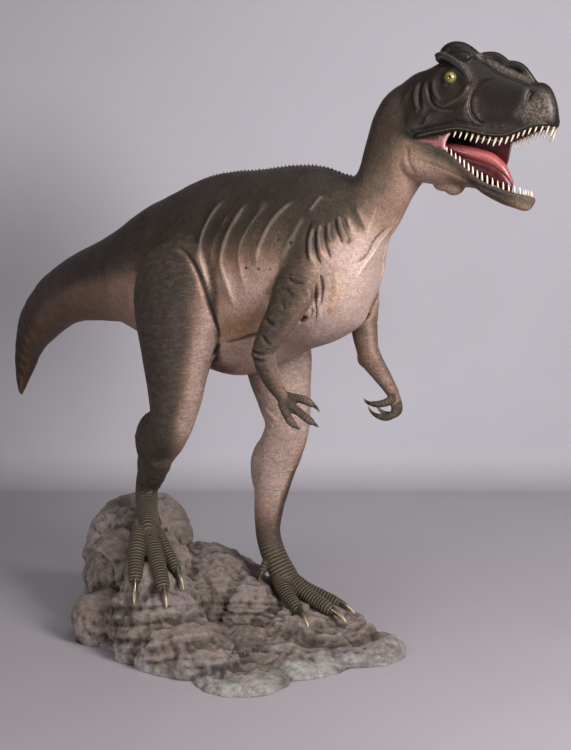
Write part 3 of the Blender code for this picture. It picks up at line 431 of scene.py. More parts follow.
RIGHT_ARM = (
    (0.235, -0.110, 1.600, 0.050, 0.050),
    (0.220, -0.175, 1.545, 0.086, 0.068),
    (0.202, -0.220, 1.480, 0.086, 0.064),
    (0.172, -0.250, 1.400, 0.075, 0.054),
    (0.126, -0.271, 1.310, 0.060, 0.045),
    (0.092, -0.274, 1.250, 0.047, 0.043),
    (0.094, -0.266, 1.190, 0.044, 0.040),
    (0.112, -0.250, 1.130, 0.035, 0.034),
    (0.133, -0.232, 1.084, 0.027, 0.030),
    (0.158, -0.218, 1.052, 0.022, 0.033),
    (0.176, -0.210, 1.034, 0.014, 0.024),
)
LEFT_ARM = (
    (0.260, 0.095, 1.540, 0.050, 0.050),
    (0.262, 0.150, 1.490, 0.076, 0.066),
    (0.256, 0.182, 1.420, 0.068, 0.060),
    (0.252, 0.202, 1.330, 0.056, 0.052),
    (0.256, 0.216, 1.250, 0.050, 0.046),
    (0.270, 0.222, 1.200, 0.046, 0.043),
    (0.315, 0.214, 1.148, 0.040, 0.038),
    (0.355, 0.206, 1.105, 0.032, 0.033),
    (0.390, 0.198, 1.062, 0.026, 0.028),
    (0.408, 0.192, 1.030, 0.022, 0.032),
    (0.412, 0.188, 1.008, 0.014, 0.024),
)
ELBOWS = ((0.078, -0.272, 1.235, 0.042), (0.252, 0.226, 1.198, 0.042))
SHOULDERS = (
    (0.205, -0.150, 1.560, 0.115, 0.075, 0.120),
    (0.250, 0.125, 1.520, 0.110, 0.070, 0.120),
)
# Rows of the fingers: a point on the middle line and its radius
FINGERS = {
    "right_first": (
        (0.150, -0.214, 1.068, 0.020),
        (0.195, -0.205, 1.064, 0.017),
        (0.230, -0.198, 1.056, 0.016),
        (0.248, -0.186, 1.044, 0.014),
        (0.250, -0.170, 1.036, 0.008),
    ),
    "right_second": (
        (0.156, -0.226, 1.052, 0.020),
        (0.205, -0.224, 1.022, 0.017),
        (0.246, -0.218, 0.994, 0.016),
        (0.262, -0.204, 0.978, 0.014),
        (0.260, -0.187, 0.970, 0.008),
    ),
    "right_third": (
        (0.148, -0.234, 1.044, 0.019),
        (0.172, -0.246, 1.010, 0.016),
        (0.194, -0.246, 0.980, 0.015),
        (0.202, -0.232, 0.964, 0.013),
        (0.199, -0.216, 0.957, 0.008),
    ),
    "left_first": (
        (0.402, 0.172, 1.040, 0.019),
        (0.380, 0.150, 1.026, 0.016),
        (0.350, 0.142, 1.020, 0.014),
        (0.328, 0.142, 1.020, 0.012),
        (0.318, 0.144, 1.022, 0.007),
    ),
    "left_second": (
        (0.412, 0.186, 1.020, 0.020),
        (0.410, 0.176, 0.986, 0.017),
        (0.380, 0.170, 0.966, 0.015),
        (0.348, 0.166, 0.968, 0.013),
        (0.338, 0.165, 0.972, 0.007),
    ),
    "left_third": (
        (0.408, 0.206, 1.022, 0.019),
        (0.408, 0.214, 0.992, 0.016),
        (0.386, 0.214, 0.972, 0.014),
        (0.362, 0.210, 0.974, 0.012),
        (0.353, 0.208, 0.978, 0.007),
    ),
}
print("limbs:", len(TOES), "toes and", len(FINGERS), "fingers")

# %% [markdown]
# ## Clay
# A sculptor presses lumps of clay together and smooths the joins. Here each lump is a closed shape
# skinned over rings of points. The Remesh modifier in voxel mode does the pressing together: it
# keeps only the outside of everything that overlaps, and the Smooth modifier rounds the joins.


# %% A class that gathers closed shapes
class Clay:
    """Closed shapes gathered as points and faces, to be fused later into one skin."""

    def __init__(self):
        self.points = []
        self.faces = []

    def rings(self, rings):
        """Takes in a shape skinned over rings of points, each with as many as the last."""
        count = len(rings[0])
        start = len(self.points)
        self.points.extend(tuple(p) for ring in rings for p in ring)
        for r in range(len(rings) - 1):
            low = start + r * count
            for i in range(count):
                j = (i + 1) % count
                self.faces.append((low + i, low + j, low + count + j, low + count + i))
        self.faces.append(tuple(start + i for i in reversed(range(count))))
        last = start + (len(rings) - 1) * count
        self.faces.append(tuple(last + i for i in range(count)))

    def sections(self, centres, sides, ups, eggs, squareness, around):
        """Takes in a loft of ovals, squared above and below, and wider below by their egg."""
        angles = np.arange(around) * 2 * math.pi / around
        power = 2 / np.where(np.sin(angles) > 0, squareness[0], squareness[1])
        across = np.sign(np.cos(angles)) * np.abs(np.cos(angles)) ** power
        along = np.sign(np.sin(angles)) * np.abs(np.sin(angles)) ** power
        rings = []
        for centre, side, up, egg in zip(centres, sides, ups, eggs):
            wide = across * (1 - egg * along)
            rings.append(centre + np.outer(wide, side) + np.outer(along, up))
        self.rings(rings)

    def limb(self, rows, hint, steps=6, around=28, squareness=(2.0, 2.0)):
        """Takes in a limb: rows of centre, half size along the hint's direction, half size across."""
        rows = smooth_rows(rows, steps)
        tangents = np.gradient(rows[:, :3], axis=0)
        firsts = []
        seconds = []
        for row, tangent in zip(rows, tangents):
            tangent = unit(tangent)
            first = unit(np.asarray(hint, float) - tangent * np.dot(hint, tangent))
            firsts.append(first * row[3])
            seconds.append(np.cross(tangent, first) * row[4])
        self.sections(rows[:, :3], firsts, seconds, [0.0] * len(rows), squareness, around)

    def tube(self, rows, steps=5, around=16):
        """Takes in a round tube: rows of point and radius."""
        self.limb([(*row, row[3]) for row in rows], (0.0, 0.13, 0.99), steps, around)

    def ball(self, centre, radii, rings=14, around=24):
        """Takes in an ellipsoid whose axes are the world's."""
        loops = []
        for r in range(1, rings):
            angle = math.pi * r / rings
            turn = np.arange(around) * 2 * math.pi / around
            loops.append(
                np.stack(
                    [
                        centre[0] + radii[0] * math.sin(angle) * np.cos(turn),
                        centre[1] + radii[1] * math.sin(angle) * np.sin(turn),
                        np.full(around, centre[2] - radii[2] * math.cos(angle)),
                    ],
                    axis=1,
                )
            )
        self.rings(loops)

    def made(self, name):
        """The gathered shapes as one mesh object, each facing out."""
        mesh = bpy.data.meshes.new(name)
        mesh.from_pydata(self.points, [], self.faces)
        shape = bmesh.new()
        shape.from_mesh(mesh)
        bmesh.ops.recalc_face_normals(shape, faces=shape.faces)
        shape.to_mesh(mesh)
        shape.free()
        return shown(name, mesh)


# %% Fuse clay, join meshes, and cut one shape from another
def settle(piece):
    """Makes the object's mesh what its modifiers give, and removes them."""
    bpy.context.view_layer.update()
    graph = bpy.context.evaluated_depsgraph_get()
    mesh = bpy.data.meshes.new_from_object(piece.evaluated_get(graph))
    piece.modifiers.clear()
    old = piece.data
    piece.data = mesh
    bpy.data.meshes.remove(old)


def fuse(piece, voxel, smoothing):
    """Fuses the object's overlapping shapes into one skin and rounds the joins."""
    remesh = piece.modifiers.new("Fuse", "REMESH")
    remesh.mode = "VOXEL"
    remesh.voxel_size = voxel
    soften = piece.modifiers.new("Soften", "SMOOTH")
    soften.factor = 0.5
    soften.iterations = smoothing
    settle(piece)


def take_in(piece, other):
    """Adds the other object's mesh to the piece's, and removes the other."""
    shape = bmesh.new()
    shape.from_mesh(piece.data)
    shape.from_mesh(other.data)
    shape.to_mesh(piece.data)
    shape.free()
    bpy.data.objects.remove(other)


def cut(piece, tool, operation="DIFFERENCE"):
    """One Boolean of the piece with a tool, which is used up."""
    change = piece.modifiers.new("Cut", "BOOLEAN")
    change.operation = operation
    change.solver = "MANIFOLD"
    change.object = tool
    settle(piece)
    bpy.data.objects.remove(tool)


def points_of(piece, what="co"):
    """The object's vertices, or their normals, as an array."""
    flat = np.empty(len(piece.data.vertices) * 3)
    piece.data.vertices.foreach_get(what, flat)
    return flat.reshape(-1, 3)


def put_points(piece, points):
    """Moves the object's vertices to these points."""
    piece.data.vertices.foreach_set("co", points.ravel())
    piece.data.update()


# %% [markdown]
# ## The skin, whole
# Tail, trunk, neck, legs and arms are fused first, coarsely and with much rounding, so that hips and
# shoulders flow into the trunk. The head, the toes and the fingers come after, in a finer fuse with
# little rounding, because their edges are crisper on the real statue.

# %% The great masses
MASS_VOXEL = 0.0085
MASS_ROUNDING = 8


def trunk_clay(clay):
    """The tail, trunk and neck as one loft."""
    centres = (BACK_LINE + BELLY_LINE) / 2
    sides = []
    for row, tangent in zip(TRUNK_ROWS, np.gradient(centres, axis=0)):
        level = unit((-tangent[1] * 0.5, 1.0, 0.0))
        if tangent[0] <= 0:
            level = unit((-tangent[1], abs(tangent[0]) + 0.2 * abs(tangent[2]), 0.0))
        sides.append(level * row[5])
    ups = (BACK_LINE - BELLY_LINE) / 2
    clay.sections(centres, sides, ups, TRUNK_ROWS[:, 6], (2.15, 2.15), 56)


rough = Clay()
trunk_clay(rough)
for x, y, z, radius in SINEW:
    rough.ball((x, y, z), (radius, radius, 1.2 * radius))
for leg in (RIGHT_LEG, LEFT_LEG, RIGHT_ARM, LEFT_ARM):
    rough.limb(leg, (1.0, 0.0, 0.0))
for x, y, z, *radii in CALVES + SHOULDERS:
    rough.ball((x, y, z), radii)
for x, y, z, radius in ELBOWS:
    rough.ball((x, y, z), (radius, radius, radius))
skin = rough.made("skin")
fuse(skin, MASS_VOXEL, MASS_ROUNDING)
print("masses:", len(skin.data.polygons), "faces")

# %% Head, jaw, ridges, toes and fingers
SKIN_VOXEL = 0.0046
SKIN_ROUNDING = 2


def head_loft(clay, rows, squareness, steps=6, around=36):
    """A loft along the head's forward axis: rows of u, half width, upper and lower w."""
    rows = smooth_rows(rows, steps)
    centres = [from_head(u, 0.0, (top + low) / 2) for u, half, top, low in rows]
    sides = [HEAD_AXES[1] * half for u, half, top, low in rows]
    ups = [HEAD_AXES[2] * (top - low) / 2 for u, half, top, low in rows]
    clay.sections(centres, sides, ups, [0.0] * len(rows), squareness, around)


def head_shape(name, rows, steps=1, around=24):
    """A round loft along the head as an object of its own."""
    clay = Clay()
    head_loft(clay, rows, (2.0, 2.0), steps, around)
    return clay.made(name)


# The upper lip's soft edge: u, distance from the middle, w and radius
UPPER_LIP = (
    (0.060, 0.086, -0.078, 0.0070),
    (0.105, 0.089, -0.066, 0.0080),
    (0.160, 0.087, -0.048, 0.0085),
    (0.211, 0.083, -0.035, 0.0090),
    (0.266, 0.078, -0.035, 0.0090),
    (0.321, 0.069, -0.038, 0.0085),
    (0.374, 0.063, -0.034, 0.0085),
    (0.423, 0.057, -0.010, 0.0085),
    (0.463, 0.050, 0.014, 0.0085),
    (0.500, 0.040, 0.025, 0.0080),
    (0.524, 0.027, 0.027, 0.0070),
)


def ridge_path(ridge, side):
    """The points of one side's ridge, with its radius."""
    return [(*from_head(u, side * v, w), radius) for u, v, w, radius in ridge]


fine = Clay()
head_loft(fine, SKULL, SKULL_SQUARENESS)
head_loft(fine, JAW, JAW_SQUARENESS)
for side in (-1, 1):
    for ridge in (BROW_HORN, BROW_EDGE, NASAL_RIDGE, UPPER_LIP):
        fine.tube(ridge_path(ridge, side))
    fine.ball(from_head(BROW[0], side * BROW[1], BROW[2]), BROW[3:])
for u, v, w, *radii in (WATTLE, CHIN):
    fine.ball(from_head(u, v, w), radii)
for rows in (*TOES.values(), *FINGERS.values()):
    fine.tube(rows)
take_in(skin, fine.made("Fine"))
fuse(skin, SKIN_VOXEL, SKIN_ROUNDING)
print("skin:", len(skin.data.polygons), "faces")

# %% [markdown]
# ## The open mouth
# The jaws gape, so the mouth is a real hollow: a palate pressed up between the upper teeth, and a
# trough pressed down between the lower ones. A Boolean takes both out of the solid jaws. A thin
# cheek stands between the jaws at each corner, as on the statue.

# %% Hollow the mouth and hang the cheeks
PALATE_SPAN = (0.110, 0.500)
TROUGH_SPAN = (0.110, 0.470)
UPPER_GUM = 0.019
LOWER_GUM = 0.016
NARROWEST = 0.006
CHEEK_THICK = 0.0070


def palate():
    """The hollow above the lip line."""
    rows = []
    for u in np.linspace(*PALATE_SPAN, 16):
        half, _, lip = profile_at(SKULL, u)
        rows.append((u, max(half - UPPER_GUM, NARROWEST), lip + 0.026, lip - 0.030))
    return head_shape("Palate", rows)


def trough():
    """The hollow below the lower jaw's rim."""
    rows = []
    for u in np.linspace(*TROUGH_SPAN, 16):
        half, rim, under = profile_at(JAW, u)
        rows.append((u, max(half - LOWER_GUM, NARROWEST), rim + 0.035, rim - 0.60 * (rim - under)))
    return head_shape("Trough", rows)


# Rows of each cheek's membrane: u, distance from the middle, low and high w
CHEEKS = {
    -1: (
        (0.030, 0.076, -0.125, -0.060),
        (0.090, 0.077, -0.125, -0.060),
        (0.140, 0.075, -0.126, -0.048),
        (0.166, 0.072, -0.122, -0.044),
        (0.172, 0.070, -0.116, -0.048),
    ),
    1: (
        (0.030, 0.076, -0.125, -0.060),
        (0.120, 0.077, -0.125, -0.046),
        (0.200, 0.074, -0.140, -0.026),
        (0.270, 0.067, -0.180, -0.024),
        (0.330, 0.058, -0.200, -0.028),
        (0.366, 0.053, -0.190, -0.026),
        (0.384, 0.051, -0.110, -0.024),
    ),
}
# The near cheek ends forward in a thick fold: u, distance from the middle, w and radius
CHEEK_FOLD = (
    (0.188, 0.072, -0.044, 0.0050),
    (0.175, 0.073, -0.062, 0.0062),
    (0.169, 0.073, -0.084, 0.0064),
    (0.172, 0.074, -0.104, 0.0058),
    (0.184, 0.075, -0.118, 0.0045),
)


def cheek(side):
    """The cheek's thin wall behind one corner of the mouth. The left one reaches further forward."""
    clay = Clay()
    rows = smooth_rows(CHEEKS[side], 3)
    places = [from_head(u, side * v, (low + high) / 2) for u, v, low, high in rows]
    flat = [HEAD_AXES[1] * CHEEK_THICK for row in rows]
    tall = [HEAD_AXES[2] * (high - low) / 2 for u, v, low, high in rows]
    clay.sections(places, flat, tall, [0.0] * len(rows), (3.0, 3.0), 24)
    return clay.made("Cheek")


def tongue_bed():
    """The flesh that carries the tongue, up from the floor of the mouth."""
    rows = [(u, 0.80 * half, w, w - 2.2 * thick - 0.020) for u, w, half, thick in TONGUE[1:]]
    return head_shape("Tongue bed", rows, 4)


def cheek_fold():
    """The thick fold at the near cheek's front edge."""
    clay = Clay()
    clay.tube([(*from_head(u, -v, w), radius) for u, v, w, radius in CHEEK_FOLD])
    return clay.made("Cheek fold")


cut(skin, palate())
cut(skin, trough())
for flesh in (cheek(-1), cheek(1), cheek_fold(), tongue_bed()):
    cut(skin, flesh, "UNION")
print("skin with its mouth:", len(skin.data.polygons), "faces")

# %% [markdown]
# ## Folds in the hide
# The statue's hide hangs in folds: over the ribs, behind the shoulder, where the thigh meets the
# belly, and round the eye. A sculptor draws each with a loop tool. Here a fold is a path, a width and
# a height: points near the path move along their normals, by a bell-shaped amount that fades at the
# path's ends. Each amount is also kept as paint, so pale crests, partly painted highlight, and dark
# creases, which are painted shade, lie on the folds.


# %% The folding tool
class Folds:
    """Presses folds into a skin, and remembers how far each point was moved."""

    def __init__(self, piece):
        self.start = points_of(piece)
        self.normals = points_of(piece, "normal")
        self.moved = np.zeros(len(self.start))

    def press(self, places, path, width, height, allowed=None, valleys=0.35, ends=0.32):
        """Raises (or with a height below nought, sinks) a fold along the path, faded over both ends."""
        path = np.asarray(path, float)
        if len(path) > 2:
            path = smooth_rows(path, 4)
        reach = 8.0 * width
        near = np.all((places > path.min(0) - reach) & (places < path.max(0) + reach), axis=1)
        if allowed is not None:
            near &= allowed
        near = np.flatnonzero(near)
        if not len(near):
            return
        distance, along = near_path(places[near], path)
        total = np.linalg.norm(np.diff(path, axis=0), axis=1).sum()
        share = along / total
        fade = eased(-0.02, ends, share) * eased(-0.02, ends, 1 - share) if total > 2 * width else 1.0
        soft = 0.5 if height > 0 else 0.2
        crest = (1 - soft) * bell(distance, width) + soft * bell(distance, 2.2 * width)
        form = crest - valleys * bell(distance, 3.6 * width)
        self.moved[near] += height * form * fade

    def done(self, piece):
        """Moves the skin's points."""
        put_points(piece, self.start + self.normals * self.moved[:, None])


# Where the statue is slimmer than its clay masses: paths with a depth and a width
SLIMMED = (
    (((0.455, 0.039, 1.640), (0.430, 0.050, 1.560), (0.405, 0.070, 1.480), (0.372, 0.103, 1.420)),
     0.0200, 0.075),
    (((0.311, -0.189, 1.540), (0.302, -0.197, 1.490), (0.275, -0.200, 1.435)), 0.0150, 0.036),
)
places = points_of(skin)
slimmer = np.zeros(len(places))
for path, depth, width in SLIMMED:
    slimmer += sprayed(places, path, width, depth)
put_points(skin, places - points_of(skin, "normal") * slimmer[:, None])
folds = Folds(skin)
head_places = in_head(folds.start)
print("folding", len(folds.start), "points")

# %% Folds of the flank, the shoulder and the belly
def laid_on_skin(path, side=1):
    """The path, mirrored when the side is -1, with every point moved to the nearest skin."""
    return np.array([skin.closest_point_on_mesh((x, side * y, z))[1] for x, y, z in path])


# Places on the right side, in metres, which the left side mirrors
WARTS = (
    (-0.014, -0.250, 1.561), (0.045, -0.248, 1.556), (0.096, -0.243, 1.555), (0.123, -0.229, 1.666),
    (0.179, -0.222, 1.653), (-0.176, -0.196, 1.805), (-0.070, -0.222, 1.742), (0.030, -0.205, 1.800),
)
CHEST_FOLD = ((0.340, -0.176, 1.554), (0.349, -0.161, 1.502), (0.338, -0.151, 1.449),
              (0.303, -0.147, 1.396))
# Each fold: its path on the right side, its width, and its height, which is below nought for a crease
FLANK_FOLDS = (
    # long folds over the ribs, from the thigh forwards
    (((-0.174, -0.164, 1.845), (-0.217, -0.193, 1.784), (-0.247, -0.214, 1.717), (-0.255, -0.231, 1.661),
      (-0.238, -0.261, 1.604), (-0.217, -0.269, 1.564), (-0.191, -0.262, 1.492)), 0.0105, 0.0105),
    (((-0.107, -0.187, 1.807), (-0.156, -0.215, 1.731), (-0.185, -0.233, 1.659), (-0.186, -0.246, 1.581),
      (-0.155, -0.253, 1.503)), 0.0095, 0.0045),
    (((-0.041, -0.173, 1.838), (-0.081, -0.203, 1.772), (-0.116, -0.226, 1.701), (-0.133, -0.240, 1.635),
      (-0.134, -0.248, 1.580), (-0.105, -0.255, 1.514), (-0.078, -0.254, 1.448), (-0.067, -0.246, 1.393)),
     0.0115, 0.0120),
    (((0.042, -0.194, 1.800), (-0.003, -0.216, 1.741), (-0.038, -0.234, 1.677), (-0.049, -0.245, 1.612),
      (-0.031, -0.252, 1.546), (-0.011, -0.252, 1.465)), 0.0105, 0.0060),
    (((0.180, -0.175, 1.819), (0.130, -0.197, 1.786), (0.086, -0.218, 1.733), (0.057, -0.233, 1.674),
      (0.038, -0.244, 1.610), (0.037, -0.248, 1.567)), 0.0115, 0.0100),
    (((0.229, -0.190, 1.761), (0.198, -0.210, 1.703), (0.170, -0.226, 1.640), (0.140, -0.226, 1.577)),
     0.0120, 0.0060),
    (((0.274, -0.143, 1.835), (0.253, -0.169, 1.798), (0.236, -0.186, 1.766)), 0.0090, 0.0080),
    # hanging folds of the shoulder, each with a deep crease beside it
    (((0.268, -0.192, 1.717), (0.257, -0.204, 1.670), (0.257, -0.209, 1.628), (0.262, -0.200, 1.587),
      (0.272, -0.190, 1.555)), 0.0075, 0.0105),
    (((0.290, -0.181, 1.733), (0.287, -0.193, 1.680), (0.297, -0.196, 1.627), (0.323, -0.188, 1.585)),
     0.0070, 0.0085),
    (((0.320, -0.170, 1.737), (0.324, -0.180, 1.690), (0.340, -0.177, 1.648)), 0.0065, 0.0065),
    (((0.349, -0.152, 1.758), (0.358, -0.156, 1.721), (0.376, -0.151, 1.679), (0.387, -0.144, 1.653)),
     0.0070, 0.0085),
    (((0.381, -0.139, 1.747), (0.390, -0.137, 1.710), (0.403, -0.129, 1.679)), 0.0065, 0.0065),
    (((0.404, -0.121, 1.789), (0.429, -0.112, 1.741), (0.440, -0.099, 1.690)), 0.0080, 0.0050),
    (((0.256, -0.188, 1.744), (0.242, -0.204, 1.691), (0.244, -0.212, 1.628), (0.252, -0.205, 1.566)),
     0.0060, -0.0095),
    (((0.276, -0.189, 1.717), (0.274, -0.200, 1.659), (0.285, -0.202, 1.606), (0.308, -0.194, 1.564)),
     0.0055, -0.0085),
    (((0.306, -0.177, 1.727), (0.310, -0.188, 1.669), (0.327, -0.185, 1.616), (0.337, -0.181, 1.585)),
     0.0055, -0.0080),
    (((0.340, -0.157, 1.753), (0.346, -0.165, 1.711), (0.363, -0.160, 1.669), (0.374, -0.156, 1.642)),
     0.0055, -0.0095),
    (((0.369, -0.144, 1.752), (0.380, -0.143, 1.721), (0.393, -0.138, 1.689)), 0.0050, -0.0060),
    # before and under the arm
    (((0.274, -0.240, 1.500), (0.268, -0.214, 1.439), (0.251, -0.180, 1.396), (0.228, -0.164, 1.358)),
     0.0065, -0.0100),
    (((0.290, -0.215, 1.520), (0.280, -0.196, 1.438), (0.262, -0.170, 1.385), (0.241, -0.155, 1.352)),
     0.0060, -0.0095),
    (((0.300, -0.196, 1.545), (0.302, -0.188, 1.491), (0.289, -0.176, 1.449), (0.276, -0.166, 1.405)),
     0.0055, -0.0080),
    (((0.262, -0.246, 1.490), (0.268, -0.236, 1.450), (0.260, -0.216, 1.415)), 0.0060, 0.0050),
    (((0.188, -0.172, 1.352), (0.221, -0.177, 1.379)), 0.0110, -0.0130),
    (CHEST_FOLD, 0.0110, 0.0060),
    # down the front of the neck
    (((0.524, 0.004, 1.755), (0.482, -0.027, 1.681), (0.441, -0.060, 1.607), (0.413, -0.094, 1.554),
      (0.381, -0.122, 1.491)), 0.0080, 0.0060),
    (((0.500, -0.027, 1.717), (0.461, -0.064, 1.670), (0.429, -0.081, 1.607), (0.403, -0.119, 1.575)),
     0.0070, -0.0050),
    (((0.476, -0.090, 1.787), (0.454, -0.093, 1.726), (0.434, -0.100, 1.669)), 0.0080, 0.0050),
    # the thigh's crease and the belly's
    (((-0.366, -0.269, 1.659), (-0.304, -0.273, 1.638), (-0.239, -0.282, 1.570), (-0.207, -0.278, 1.503),
      (-0.188, -0.262, 1.420), (-0.172, -0.242, 1.353), (-0.166, -0.228, 1.308), (-0.184, -0.210, 1.262)),
      0.0085, -0.0130),
    (((-0.170, -0.210, 1.265), (-0.092, -0.210, 1.279), (-0.013, -0.204, 1.300), (0.050, -0.190, 1.310)),
     0.0095, -0.0075),
    (((-0.218, -0.237, 1.172), (-0.213, -0.202, 1.221), (-0.169, -0.212, 1.268)), 0.0080, -0.0090),
)
for path, width, height in FLANK_FOLDS:
    for side in (1, -1):
        folds.press(folds.start, laid_on_skin(path, side), width, height, None, 0.35, 0.20)
# The same for the far knee, on the left side alone
FAR_KNEE_FOLDS = (
    (((-0.219, 0.125, 1.015), (-0.161, 0.118, 0.967), (-0.102, 0.123, 0.924), (-0.054, 0.150, 0.890)),
     0.0060, -0.0070),
    (((-0.211, 0.136, 0.954), (-0.153, 0.123, 0.916), (-0.094, 0.128, 0.877)), 0.0060, -0.0070),
    (((-0.165, 0.109, 1.062), (-0.109, 0.119, 1.005), (-0.063, 0.142, 0.963), (-0.030, 0.184, 0.935)),
     0.0060, -0.0060),
    (((-0.209, 0.127, 0.985), (-0.135, 0.119, 0.939), (-0.069, 0.136, 0.899)), 0.0060, 0.0050),
)
for path, width, height in FAR_KNEE_FOLDS:
    folds.press(folds.start, np.array(path), width, height)
for side in (-1, 1):
    for x, y, z in WARTS:
        wart = np.array(((x, -side * y, z), (x + 0.002, -side * y, z + 0.001)))
        folds.press(folds.start, wart, 0.0110, 0.0050, None, 0.0)
        folds.press(folds.start, wart, 0.0058, -0.0100, None, 0.0)
print("flank:", len(FLANK_FOLDS), "folds and", len(WARTS), "warts on each side")

# %% Wrinkles of the arms
# Each wrinkle's two ends on the right arm
ARM_WRINKLES = (
    ((0.197, -0.262, 1.524), (0.258, -0.244, 1.497)),
    ((0.199, -0.277, 1.484), (0.246, -0.238, 1.443)),
    ((0.189, -0.286, 1.443), (0.204, -0.250, 1.395)),
    ((0.122, -0.298, 1.375), (0.166, -0.293, 1.346)),
    ((0.111, -0.307, 1.315), (0.147, -0.273, 1.268)),
    ((0.060, -0.300, 1.250), (0.128, -0.300, 1.236)),
    ((0.060, -0.300, 1.222), (0.128, -0.292, 1.212)),
)
ARM_SHIFT = np.array(LEFT_ARM)[1:6, :3].mean(0) - np.array(RIGHT_ARM)[1:6, :3].mean(0) * (1, -1, 1)
for path in ARM_WRINKLES:
    path = np.insert(path, 1, np.mean(path, axis=0) + (0.0, -0.012, -0.006), axis=0)
    for shifted in (path, path * (1, -1, 1) + ARM_SHIFT):
        folds.press(folds.start, laid_on_skin(shifted), 0.0060, -0.0080, None, 0.35, 0.20)
print("arms:", len(ARM_WRINKLES), "wrinkles on each")

# %% Features of the head, as (u, w) paths on both sides
def flat(path):
    """A (u, w) path as points of a plane."""
    return [(u, w, 0.0) for u, w in path]


def flattened(places):
    """Places in the head's frame as points of that plane, without their v."""
    return np.stack([places[:, 0], places[:, 2], np.zeros(len(places))], axis=1)


# Each fold: its path, width and height, and how deep the valleys beside it are
HEAD_FOLDS = (
    # round the eye: the sunken socket, the lids, two crescents under it and the groove below them
    (((0.137, 0.140), (0.165, 0.133)), 0.0260, -0.0110, 0.0),
    (((0.222, 0.124), (0.217, 0.109), (0.211, 0.091), (0.197, 0.069), (0.176, 0.053), (0.152, 0.040)),
     0.0080, 0.0100, 0.4),
    (((0.088, 0.128), (0.093, 0.110), (0.103, 0.084), (0.120, 0.063), (0.136, 0.050)), 0.0070, 0.0080, 0.4),
    (((0.072, 0.128), (0.080, 0.088), (0.097, 0.050), (0.123, 0.030), (0.166, 0.026), (0.204, 0.045),
      (0.224, 0.080), (0.231, 0.122)), 0.0050, -0.0075, 0.2),
    # behind the eye and over the cheek
    (((0.033, 0.118), (0.031, 0.095), (0.031, 0.070), (0.039, 0.038), (0.057, 0.004)), 0.0075, 0.0065, 0.4),
    (((0.062, 0.115), (0.061, 0.090), (0.066, 0.060), (0.081, 0.026)), 0.0065, 0.0060, 0.4),
    (((0.046, 0.118), (0.046, 0.068), (0.064, 0.010)), 0.0050, -0.0055, 0.0),
    (((0.011, 0.100), (0.000, 0.065), (-0.014, 0.025)), 0.0075, 0.0055, 0.4),
    (((0.100, 0.030), (0.082, -0.006), (0.076, -0.040)), 0.0060, -0.0055, 0.2),
    # the hollow before the eye, with its crisp rim
    (((0.300, 0.068), (0.350, 0.075)), 0.0420, -0.0060, 0.0),
    (((0.302, 0.152), (0.289, 0.147), (0.268, 0.137), (0.249, 0.115), (0.238, 0.084), (0.240, 0.053),
      (0.252, 0.027),
      (0.270, 0.007), (0.291, -0.004), (0.320, -0.004)), 0.0038, -0.0085, 0.0),
    (((0.296, 0.162), (0.262, 0.146), (0.238, 0.118), (0.227, 0.084), (0.229, 0.048), (0.243, 0.018),
      (0.266, -0.004), (0.290, -0.014)), 0.0048, 0.0035, 0.0),
    (((0.417, 0.156), (0.407, 0.098), (0.393, 0.021)), 0.0110, 0.0030, 0.2),
    # under the nasal ridge, the nostril and its rim, and a small pit over the lip
    (((0.226, 0.236), (0.240, 0.228), (0.261, 0.215), (0.294, 0.191), (0.314, 0.181), (0.338, 0.173),
      (0.362, 0.169),
      (0.386, 0.164), (0.424, 0.155), (0.440, 0.150)), 0.0060, -0.0065, 0.2),
    (((0.443, 0.134), (0.439, 0.122), (0.436, 0.108), (0.437, 0.092)), 0.0065, -0.0095, 0.0),
    (((0.200, -0.008), (0.202, -0.008)), 0.0035, -0.0040, 0.0),
    # the upper lip's edge and the line above it
    (((0.050, -0.080), (0.071, -0.076), (0.104, -0.064), (0.159, -0.047), (0.211, -0.033), (0.266, -0.034),
      (0.321, -0.038), (0.374, -0.032), (0.423, -0.007), (0.463, 0.017), (0.515, 0.030)),
      0.0055, 0.0032, 0.3),
    (((0.060, -0.060), (0.111, -0.046), (0.166, -0.026), (0.211, -0.012), (0.266, -0.014), (0.321, -0.018),
      (0.374, -0.012), (0.423, 0.012), (0.463, 0.036)), 0.0050, -0.0030, 0.0),
    # the skin round the corner of the mouth, and the jaw's lines
    (((0.118, -0.072), (0.084, -0.080), (0.060, -0.090), (0.085, -0.103), (0.132, -0.115)),
     0.0055, 0.0045, 0.3),
    (((0.130, -0.113), (0.191, -0.130), (0.238, -0.157), (0.300, -0.196), (0.359, -0.219), (0.415, -0.230),
      (0.490, -0.237)), 0.0060, 0.0035, 0.3),
    (((0.083, -0.165), (0.170, -0.178), (0.250, -0.200), (0.320, -0.222), (0.420, -0.246)),
     0.0060, -0.0040, 0.2),
    (((0.040, -0.120), (0.048, -0.165), (0.084, -0.215)), 0.0080, -0.0045, 0.2),
)
sides_apart = np.abs(head_places[:, 1]) > 0.030
flat_places = flattened(head_places)
on_head = sides_apart & (np.linalg.norm(head_places - (0.25, 0.0, 0.0), axis=1) < 0.40)
for path, width, height, valleys in HEAD_FOLDS:
    folds.press(flat_places, flat(path), width, height, on_head, valleys, 0.16)
turns = np.linspace(-0.9, 2 * math.pi + 0.9, 22)
lid = [(EYE_PLACE[0] + 0.0245 * math.cos(a), EYE_PLACE[2] + 0.001 + 0.0230 * math.sin(a)) for a in turns]
folds.press(flat_places, flat(lid), 0.0055, 0.0085, on_head, 0.0)
print("head:", len(HEAD_FOLDS), "folds on each side")

# %% [markdown]
# ## Plates round the feet
# The toes and shanks wear broad plates, one behind another like roof tiles. They are far smaller than
# the body's folds, so the mesh only carries their swell, and the material draws their crisp edges.
# For both, every point of a limb needs one number: how far along the limb it lies, counted in plates.

